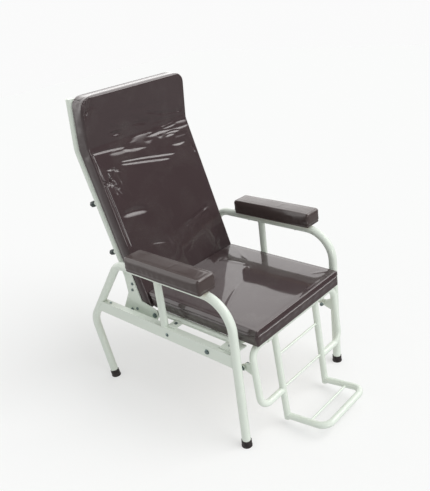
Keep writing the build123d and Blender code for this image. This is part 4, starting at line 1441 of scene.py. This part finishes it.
@dataclass
class Bolts:
    """Bolts, pins and screws with washers, flats and rounded crowns."""

    trees: Trees
    lug_x: float = 0.249
    plate_x: float = 0.259
    plate: float = 0.004
    link_x: float = 0.254

    def bar(self, shape: Shape, x0: float, x1: float, y: float, z: float, radius: float) -> None:
        """Plain round bar across the chair with a small chamfer at each end."""
        way = 1.0 if x1 > x0 else -1.0
        length = abs(x1 - x0)
        chamfer = min(0.0004, length / 4)
        shape.turn([(radius - chamfer, 0.0, Section.ROUND), (radius, chamfer, Section.ROUND),
                    (radius, length - chamfer, Section.ROUND), (radius - chamfer, length, Section.ROUND)],
                   (x0, y, z), (way, 0.0, 0.0), 28)

    def head(self, shape: Shape, kind: Head, x: float, y: float, z: float, way: float, radius: float,
             height: float) -> None:
        """Head of a bolt that runs across the chair."""
        shape.turn(head_profile(kind, radius, height), (x, y, z), (way, 0.0, 0.0), 36, 0.3 + y * 7)

    def pivots(self) -> None:
        """Pivot bolts of the back, with spacer, crowned hexagon head and lock nut."""
        y, z = LAYOUT.pivot
        shape = Shape()
        outer = self.plate_x + self.plate + 0.0003
        for side in Side:
            s = side.value
            self.bar(shape, s * self.lug_x, s * outer, y, z, 0.005)
            self.bar(shape, s * (self.lug_x + self.plate), s * (self.plate_x - 0.0003), y, z, 0.009)
            self.head(shape, Head.HEX, s * outer, y, z, s, 0.0081, 0.007)
            self.head(shape, Head.HEX, s * self.lug_x, y, z, -s, 0.0061, 0.0078)
        shape.build("back_pivot_bolts_dressed", FINISHES.steel, "chair_frame", "dark_fastener",
                    ["back_pivot_bolts"])

    def cranks(self) -> None:
        """Crank pins that join the hinge plates to the coupling bars."""
        y = LAYOUT.pivot[0] + 0.042
        z = LAYOUT.pivot[1] - 0.0845
        shape = Shape()
        for side in Side:
            s = side.value
            outer = self.plate_x + self.plate
            self.bar(shape, s * (self.link_x - 0.0033), s * outer, y, z, 0.004)
            self.bar(shape, s * (self.link_x - 0.0033), s * (self.link_x - 0.0003), y, z, 0.0075)
            self.head(shape, Head.HEX, s * outer, y, z, s, 0.0062, 0.004)
        shape.build("crank_pins_dressed", FINISHES.steel, "backrest", "dark_fastener", ["crank_pins"])

    def plates(self) -> None:
        """Bolts through the hinge plates."""
        shape = Shape()
        x = self.plate_x + self.plate
        for side in Side:
            for dy, dz in ((0.106, 0.108), (0.112, 0.080), (0.137, -0.013), (0.104, -0.002)):
                self.head(shape, Head.HEX, side.value * x, LAYOUT.pivot[0] + dy, LAYOUT.pivot[1] + dz,
                          side.value, 0.0049, 0.004)
        shape.build("plate_bolts_dressed", FINISHES.steel, "backrest", "dark_fastener", ["plate_bolts"])

    def rails(self) -> None:
        """Bolts in the side rails and on the seat tabs."""
        shape = Shape()
        low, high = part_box("side_rail_left")
        cross_low, cross_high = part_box("seat_cross_rear")
        mid_z = (low.z + high.z) / 2
        rear_y = (cross_low.y + cross_high.y) / 2 - 0.012
        top_y = high.y - 0.0815
        tab_low, tab_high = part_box("seat_tabs")
        for side in Side:
            s = side.value
            self.head(shape, Head.DOME, s * high.x, rear_y, mid_z - 0.002, s, 0.0070, 0.0042)
            self.head(shape, Head.HEX, s * high.x, LAYOUT.front_leg_y + 0.122, mid_z - 0.001, s,
                      0.0078, 0.005)
            for x, y, z, radius in ((LAYOUT.side_x, top_y, high.z, 0.0042),
                                    (LAYOUT.side_x - 0.026, rear_y - 0.014, tab_high.z, 0.0052),
                                    (LAYOUT.side_x - 0.026, LAYOUT.front_leg_y + 0.045, tab_high.z, 0.0052)):
                shape.turn(head_profile(Head.HEX, radius, 0.0038), (s * x, y, z), (0.0, 0.0, 1.0), 36, 0.4)
        shape.build("rail_bolts_dressed", FINISHES.steel, "chair_frame", "dark_fastener", ["rail_bolts"])

    def links(self) -> None:
        """Pins of the leg rest's lugs with their nuts."""
        low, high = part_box("link_pins")
        y, z = (low.y + high.y) / 2, (low.z + high.z) / 2
        shape = Shape()
        inner, outer = self.link_x - 0.0275, self.link_x + self.plate + 0.0003
        for side in Side:
            s = side.value
            self.bar(shape, s * inner, s * (outer + 0.005), y, z, 0.004)
            self.head(shape, Head.HEX, s * (inner + 0.008), y, z, -s, 0.0062, 0.0078)
            self.head(shape, Head.HEX, s * outer, y, z, s, 0.0069, 0.0058)
        shape.build("link_pins_dressed", FINISHES.steel, "leg_rest", "dark_fastener", ["link_pins"])

    def screw_unit(self) -> bpy.types.Object:
        """One pan-head screw with a round recess in its top, pointing up."""
        shape = Shape()
        shape.turn(head_profile(Head.PAN, 0.0044, 0.0026), (0.0, 0.0, 0.0), (0.0, 0.0, 1.0), 24)
        return make_object("screw_unit", np.vstack(shape.points), shape.faces, None)

    def screws(self) -> None:
        """Screws that hold the boards: through the back's cross tubes, the seat's and under the arms."""
        unit = self.screw_unit()
        behind = (math.cos(LAYOUT.lean), -math.sin(LAYOUT.lean))
        turned = (math.cos(LAYOUT.lean - LAYOUT.head_turn), -math.sin(LAYOUT.lean - LAYOUT.head_turn))
        back_places, back_facings = [], []
        for label, way in (("lower", behind), ("middle", behind), ("upper", behind), ("head", turned)):
            low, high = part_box("back_cross_" + label)
            radius = (high.y - low.y) / 2 - 0.0002
            for x in (-0.16, 0.0, 0.16):
                back_places.append((x, (low.y + high.y) / 2 + way[0] * radius,
                                    (low.z + high.z) / 2 + way[1] * radius))
                back_facings.append((0.0, way[0], way[1]))
        seat_places, seat_facings = [], []
        for label in ("front", "rear"):
            low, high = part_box("seat_cross_" + label)
            for x in (-0.15, 0.15):
                seat_places.append((x, (low.y + high.y) / 2, low.z))
                seat_facings.append((0.0, 0.0, -1.0))
        pad_low, pad_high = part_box("arm_pad_left")
        for side in Side:
            for y in (pad_low.y + 0.09, pad_high.y - 0.05):
                seat_places.append((side.value * LAYOUT.side_x, y, LAYOUT.arm_z - LAYOUT.tube_r + 0.0002))
                seat_facings.append((0.0, 0.0, -1.0))
        for name, places, facings, body in (("back_screws", back_places, back_facings, "backrest"),
                                            ("seat_screws", seat_places, seat_facings, "chair_frame")):
            obj = grow(name, points_mesh(name + "_points", places, facings), self.trees.fixing,
                       {"Unit": unit, "Material": FINISHES.bright.material()})
            settle(obj, body)
        bpy.data.objects.remove(unit)

    def build(self) -> None:
        """Make every fixing."""
        self.pivots()
        self.cranks()
        self.plates()
        self.rails()
        self.links()
        self.screws()


@dataclass
class ClampKnobs:
    """Lobed clamp knobs behind the right back tube, each on its threaded screw."""

    x: float = -0.245
    tube_behind: float = 0.0813
    stations: Tuple[float, float] = (0.267, 0.469)
    radii: Tuple[float, float] = (0.0112, 0.0122)
    length: float = 0.028

    def build(self) -> None:
        """Turn each knob, its collar and its screw."""
        way = (0.0, math.cos(LAYOUT.lean), -math.sin(LAYOUT.lean))
        for label, station, radius in zip(("lower", "upper"), self.stations, self.radii):
            y, z = LAYOUT.back_place(station, self.tube_behind + 0.0243)
            r = radius
            knob = Shape()
            knob.turn([(r * 0.62, 0.0, Section.ROUND), (r * 0.72, 0.0008, Section.ROUND),
                       (r * 0.75, 0.0045, Section.ROUND), (r * 0.93, 0.0062, Section.LOBED),
                       (r, 0.0085, Section.LOBED), (r, 0.0225, Section.LOBED),
                       (r * 0.965, 0.0252, Section.LOBED), (r * 0.86, 0.0272, Section.LOBED),
                       (r * 0.6, 0.0279, Section.ROUND),
                       (r * 0.42, 0.028, Section.ROUND), (r * 0.38, 0.0272, Section.ROUND)],
                      (self.x, y, z), way, 72)
            knob.build("clamp_knob_" + label + "_grip", FINISHES.knob, label + "_knob", "knob_plastic",
                       ["clamp_knob_" + label])
            screw = Shape()
            crests = [(0.0039 if n % 2 else 0.0035, -0.0083 + n * 0.0005, Section.ROUND) for n in range(18)]
            screw.turn(crests, (self.x, y, z), way, 28)
            screw.build("clamp_screw_" + label, FINISHES.bright, label + "_knob", "dark_fastener")


# ---------------------------------------------------------------- welds, stitches and staples
def ring(centre: Sequence[float], way: Sequence[float], radius: float, count: int = 40) -> np.ndarray:
    """Points of a circle.

    Args:
        centre: Its middle.
        way: Its axis.
        radius: Its radius.
        count: How many points.

    Returns:
        The points.
    """
    first, second, _ = axes_for(way)
    angles = np.linspace(0, 2 * math.pi, count, endpoint=False)
    return (np.array(centre) + radius * np.outer(np.cos(angles), first)
            + radius * np.outer(np.sin(angles), second))


def box_ring(centre: Sequence[float], first: Sequence[float], second: Sequence[float],
             half: Tuple[float, float], count: int = 12) -> np.ndarray:
    """Points of a rectangle's outline.

    Args:
        centre: Its middle.
        first: Way of its width.
        second: Way of its height.
        half: Half width and half height.
        count: Points on each side.

    Returns:
        The points.
    """
    run = np.linspace(-1, 1, count, endpoint=False)
    square = np.vstack([np.column_stack([run, -np.ones(count)]), np.column_stack([np.ones(count), run]),
                        np.column_stack([-run, np.ones(count)]), np.column_stack([-np.ones(count), -run])])
    return (np.array(centre) + np.outer(square[:, 0] * half[0], first)
            + np.outer(square[:, 1] * half[1], second))


def onto_tube(points: np.ndarray, way: Sequence[float], on_axis: Sequence[float], axis: Sequence[float],
              radius: float) -> np.ndarray:
    """Slide a branch's outline along way until it meets a tube.

    Args:
        points: the outline, short of the tube.
        way: unit vector towards the tube.
        on_axis: a point on the tube's axis.
        axis: unit vector along the tube.
        radius: the tube's outer radius.

    Returns:
        The joint line.
    """
    way, axis = np.array(way, float), np.array(axis, float)
    offset = points - np.array(on_axis)
    offset = offset - np.outer(offset @ axis, axis)
    across = way - (way @ axis) * axis
    a = across @ across
    b = 2 * offset @ across
    c = (offset ** 2).sum(1) - radius ** 2
    root = np.sqrt(np.maximum(b * b - 4 * a * c, 0.0))
    return points + np.outer((-b - root) / (2 * a), way)


@dataclass
class Welds:
    """Weld beads where tubes, rails and rungs meet, under the powder coat."""

    trees: Trees
    size: float = 0.0017

    def frame_loops(self) -> List[np.ndarray]:
        """Joints of the side frames and the seat frame."""
        lay = LAYOUT
        loops = []
        front_low, front_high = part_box("seat_cross_front")
        rear_low, rear_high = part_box("seat_cross_rear")
        slope = np.array((0.0, 0.2395, -0.307)) / math.hypot(0.2395, 0.307)
        rail_z = (lay.rail_top + lay.rail_bottom) / 2
        rail_half = (0.0125, 0.025)
        for side in Side:
            x = side.value * lay.side_x
            loops.append(ring((x, lay.post_y, lay.rail_top + 0.0003), (0, 0, 1), lay.post_r))
            loops.append(onto_tube(ring((x, lay.post_y, lay.arm_z - 0.05), (0, 0, 1), lay.post_r), (0, 0, 1),
                                   (x, 0, lay.arm_z), (0, 1, 0), lay.tube_r))
            section = box_ring((x, lay.front_leg_y + 0.05, rail_z), (1, 0, 0), (0, 0, 1), rail_half)
            loops.append(onto_tube(section, (0, -1, 0), (x, lay.front_leg_y, 0), (0, 0, 1), lay.tube_r))
            section = box_ring((x, 0.30, rail_z), (1, 0, 0), (0, 0, 1), rail_half)
            loops.append(onto_tube(section, (0, 1, 0), (x, 0.275, lay.arm_z), slope, lay.tube_r))
            inner = side.value * (lay.side_x - rail_half[0])
            loops.append(box_ring((inner, (rear_low.y + rear_high.y) / 2, (rear_low.z + rear_high.z) / 2),
                                  (0, 1, 0), (0, 0, 1), (0.010, 0.010)))
            section = box_ring((0, (front_low.y + front_high.y) / 2, (front_low.z + front_high.z) / 2),
                               (0, 1, 0), (0, 0, 1), (0.010, 0.0098))
            loops.append(onto_tube(section, (side.value, 0, 0), (side.value * 0.247, 0, front_high.z - 0.010),
                                   (0, 1, 0), 0.011))
        return loops

    def back_loops(self) -> List[np.ndarray]:
        """Joints of the back's cross tubes."""
        lay = LAYOUT
        loops = []
        ways = {"head": lay.lean - lay.head_turn}
        for label in ("lower", "middle", "upper", "head"):
            low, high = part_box("back_cross_" + label)
            y, z = (low.y + high.y) / 2, (low.z + high.z) / 2
            angle = ways.get(label, lay.lean)
            axis = (0.0, math.sin(angle), math.cos(angle))
            behind = np.array((0.0, math.cos(angle), -math.sin(angle)))
            for side in Side:
                on_axis = np.array((side.value * 0.245, y, z)) + behind * 0.004
                loops.append(onto_tube(ring((0, y, z), (1, 0, 0), 0.0109, 32), (side.value, 0, 0), on_axis,
                                       axis, 0.015))
        return loops

    def leg_loops(self) -> Tuple[List[np.ndarray], List[np.ndarray]]:
        """Joints of the leg rest: tube to tube, and the thin rungs."""
        y, z = LAYOUT.leg_pivot
        tilt = math.radians(4.5)
        down = np.array((0.0, -math.sin(tilt), -math.cos(tilt)))
        ahead = np.array((0.0, -math.cos(math.radians(9.0)), math.sin(math.radians(9.0))))
        top = np.array((0.0, y, z))
        start = top + down * 0.3515
        tube_r, apart = 0.0125, 0.125
        tubes, rungs = [], []
        for side in Side:
            s = side.value
            inner = top + np.array((s * apart, 0, 0))
            tubes.append(onto_tube(ring(inner + down * 0.05, down, tube_r), -down, top, (1, 0, 0), tube_r))
            outer = inner + down * 0.237 + np.array((s * 0.06, 0, 0))
            tubes.append(onto_tube(ring(outer, (1, 0, 0), 0.0123), (-s, 0, 0), inner, down, tube_r))
            tubes.append(onto_tube(ring(start + np.array((s * apart, 0, 0)) + ahead * 0.06, ahead, 0.0123),
                                   -ahead, inner, down, tube_r))
            for along in (0.094, 0.232):
                rungs.append(onto_tube(ring(top + down * along, (1, 0, 0), 0.0044, 20), (s, 0, 0), inner, down,
                                       tube_r))
            loop_side = start + np.array((s * apart, 0, 0))
            rungs.append(onto_tube(ring(start + ahead * 0.098, (1, 0, 0), 0.0044, 20), (s, 0, 0), loop_side,
                                   ahead, tube_r))
        return tubes, rungs

    def build(self) -> None:
        """Lay every bead."""
        tubes, rungs = self.leg_loops()
        for name, loops, body, size in (("frame_welds", self.frame_loops(), "chair_frame", self.size),
                                        ("back_welds", self.back_loops(), "backrest", self.size * 0.9),
                                        ("leg_welds", tubes, "leg_rest", self.size * 0.9),
                                        ("rung_welds", rungs, "leg_rest", self.size * 0.6)):
            obj = grow(name, loops_mesh(name + "_lines", loops), self.trees.weld,
                       {"Pitch": size * 1.15, "Size": size, "Material": FINISHES.coat.material()})
            settle(obj, body)


@dataclass
class Staples:
    """Staples that hold the cover round the boards."""

    trees: Trees
    pitch: float = 0.024
    margin: float = 0.0075

    def unit(self) -> bpy.types.Object:
        """One staple crown, lying along its row."""
        shape = Shape()
        shape.turn([(0.0003, -0.0050, Section.ROUND), (0.00055, -0.0046, Section.ROUND),
                    (0.00055, 0.0046, Section.ROUND), (0.0003, 0.0050, Section.ROUND)],
                   (0.0, 0.0, 0.0), (0.0, 0.0, 1.0), 8)
        return make_object("staple_unit", np.vstack(shape.points), shape.faces, None)

    def build(self) -> None:
        """Lay rows behind the back and head parts and under the seat."""
        unit = self.unit()
        lay = LAYOUT
        half = lay.half_width - self.margin
        top = lay.head_length - 0.010
        rows = []
        low, high = lay.foot + 0.0085, lay.bend_at - 0.015
        for x in (-half, half):
            for place, run in ((lay.back_place, np.linspace(low, high, 30)),
                               (lay.head_place, np.linspace(0.05, top - 0.035, 12))):
                rows.append(np.array([(x, *place(v, lay.thickness)) for v in run]))
        for place, v, inset in ((lay.back_place, low - 0.001, 0.0), (lay.head_place, top, 0.03)):
            run = np.linspace(-half + inset, half - inset, 20)
            rows.append(np.array([(x, *place(v, lay.thickness)) for x in run]))
        seat_low, seat_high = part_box("seat_cushion")
        x0, y0, y1 = seat_high.x - self.margin, seat_low.y + self.margin, seat_high.y - self.margin - 0.02
        run = np.linspace(-x0, x0, 20)
        seat_rows = [np.column_stack([run, np.full(20, y), np.full(20, seat_low.z + 0.0001)])
                     for y in (y0, y1)]
        for name, lines, body in (("back_staples", rows, "backrest"),
                                  ("seat_staples", seat_rows, "chair_frame")):
            obj = grow(name, loops_mesh(name + "_lines", lines, closed=False), self.trees.row,
                       {"Pitch": self.pitch, "Unit": unit, "Material": FINISHES.bright.material()})
            settle(obj, body)
        bpy.data.objects.remove(unit)


# ---------------------------------------------------------------- dressing and studio
@dataclass
class CarriedNodes:
    """Frame parts that keep their own shape and get their finish here."""

    by_slot: Dict[str, Finish]

    def dress(self) -> None:
        """Give each kept node the finish of its slot."""
        slots = {part["node"]: part["material_slot"] for part in frame["record"]["subparts"]}
        for name, obj in frame["nodes"].items():
            if obj.hide_render:
                continue
            material = self.by_slot[slots[name]].material()
            for holder in obj.material_slots:
                holder.material = material
            log.info("%s: finish %s", name, material.name)


@dataclass
class Studio:
    """Pale floor, soft lights and the camera."""

    place: Point = (-1.4529, -1.4302, 1.5203)
    heading: float = 44.617
    dip: float = 24.26
    roll: float = 7.65
    lens: float = 43.26
    boxes: Tuple[Tuple[Point, float, float, float], ...] = (((0.62, -0.48, 0.62), 6.0, 26.0, 5.0),
                                                            ((-0.30, -0.94, 0.10), 8.0, 20.0, 3.2))

    def camera(self) -> None:
        """Camera at the viewing angle."""
        a, e, r = (math.radians(v) for v in (self.heading, self.dip, self.roll))
        forward = Vector((math.sin(a) * math.cos(e), math.cos(a) * math.cos(e), -math.sin(e)))
        level = Vector((math.cos(a), -math.sin(a), 0.0))
        upright = level.cross(forward)
        right = level * math.cos(r) - upright * math.sin(r)
        up = right.cross(forward)
        data = bpy.data.cameras.new("view")
        data.lens = self.lens
        data.sensor_width = 36.0
        data.clip_start, data.clip_end = 0.05, 60.0
        obj = bpy.data.objects.new("view", data)
        obj.matrix_world = Matrix((right, up, -forward)).transposed().to_4x4()
        obj.location = self.place
        bpy.context.scene.collection.objects.link(obj)
        bpy.context.scene.camera = obj

    def floor(self) -> None:
        """Pale floor, wide enough for every view."""
        span = 9.0
        points = np.array([(-span, -span, 0.0), (span, -span, 0.0), (span, span, 0.0), (-span, span, 0.0)])
        obj = make_object("floor", points - np.array((0, 0, 0.0002)), [(0, 1, 2, 3)], FINISHES.floor,
                          smooth=False, recalc=False)
        obj.visible_glossy = False

    def sun(self, name: str, way: Point, strength: float, spread: float) -> None:
        """Soft distant light that shines along way."""
        data = bpy.data.lights.new(name, "SUN")
        data.energy = strength
        data.angle = math.radians(spread)
        obj = bpy.data.objects.new(name, data)
        obj.rotation_mode = "QUATERNION"
        obj.rotation_quaternion = Vector(way).to_track_quat("-Z", "Y")
        obj.visible_glossy = False
        bpy.context.scene.collection.objects.link(obj)

    def sky(self) -> None:
        """Even pale surroundings, which look bright behind the chair and dim ahead of it in gloss."""
        world = bpy.data.worlds.new("studio")
        bpy.context.scene.world = world
        world.use_nodes = True
        world.node_tree.nodes.clear()
        w = Wiring(world.node_tree)
        way = w.add("ShaderNodeTexCoord").outputs["Generated"]
        parts = w.add("ShaderNodeSeparateXYZ", {0: way})
        back_share = w.span(w.math("ADD", parts.outputs["Y"], w.math("MULTIPLY", parts.outputs["X"], 0.25)),
                            -0.2, 0.3)
        below = w.span(parts.outputs["Z"], -0.22, -0.02, 1.0, 0.0)
        above = w.math("ADD", w.math("MULTIPLY", back_share, 1.75), 0.07)
        under = w.math("ADD", w.math("MULTIPLY", back_share, 0.20), 0.31)
        seen = w.math("ADD", w.math("MULTIPLY", above, w.math("SUBTRACT", 1.0, below)),
                      w.math("MULTIPLY", under, below))
        for aim, narrow, wide, strength in self.boxes:
            length = math.sqrt(sum(c * c for c in aim))
            near = w.add("ShaderNodeVectorMath", {0: way, 1: tuple(c / length for c in aim)},
                         operation="DOT_PRODUCT")
            lit = w.span(near.outputs["Value"], math.cos(math.radians(wide)), math.cos(math.radians(narrow)),
                         0.0, strength)
            seen = w.math("ADD", seen, lit)
        ray = w.add("ShaderNodeLightPath")
        fill = w.add("ShaderNodeBackground", {"Color": (0.98, 1.0, 0.98, 1.0), "Strength": 0.62})
        gloss = w.add("ShaderNodeBackground", {"Color": (1.0, 0.985, 0.975, 1.0), "Strength": seen})
        plain = w.add("ShaderNodeBackground", {"Color": (0.96, 0.96, 0.96, 1.0), "Strength": 1.0})
        first = w.add("ShaderNodeMixShader", {0: ray.outputs["Is Glossy Ray"], 1: fill.outputs[0],
                                              2: gloss.outputs[0]})
        last = w.add("ShaderNodeMixShader", {0: ray.outputs["Is Camera Ray"], 1: first.outputs[0],
                                             2: plain.outputs[0]})
        out = w.add("ShaderNodeOutputWorld")
        w.tree.links.new(last.outputs[0], out.inputs["Surface"])

    def build(self) -> None:
        """Set the scene up."""
        bpy.context.scene.view_settings.view_transform = "Standard"
        self.camera()
        self.floor()
        self.sky()
        self.sun("key", (-0.35, 0.75, -0.9), 2.0, 50.0)


def main() -> None:
    """Build the chair's dressed parts in order, then the studio."""
    logging.basicConfig(level=logging.INFO, format="%(message)s")
    trees = Trees()
    SeatCushion("seat_cushion_cover", "seat_cushion", "chair_frame", "vinyl", FINISHES.vinyl, cap=0.006,
                fill=0.75).build()
    BackCushion("back_cushion_cover", "back_cushion", "backrest", "vinyl", FINISHES.vinyl, cap=0.006,
                fill=0.7).build()
    for side in Side:
        label = side.name.lower()
        ArmPad("arm_pad_cover_" + label, "arm_pad_" + label, "chair_frame", "pad_vinyl", FINISHES.pad,
               cap=0.0035, fill=0.8, side=side).build()
    FootCaps().build()
    Bolts(trees).build()
    ClampKnobs().build()
    Welds(trees).build()
    Staples(trees).build()
    CarriedNodes({"powder_coat": FINISHES.coat, "vinyl": FINISHES.vinyl, "pad_vinyl": FINISHES.pad,
                  "plywood": FINISHES.plywood, "rubber": FINISHES.rubber, "knob_plastic": FINISHES.knob,
                  "dark_fastener": FINISHES.steel}).dress()
    Studio().build()


if __name__ == "__main__":
    main()
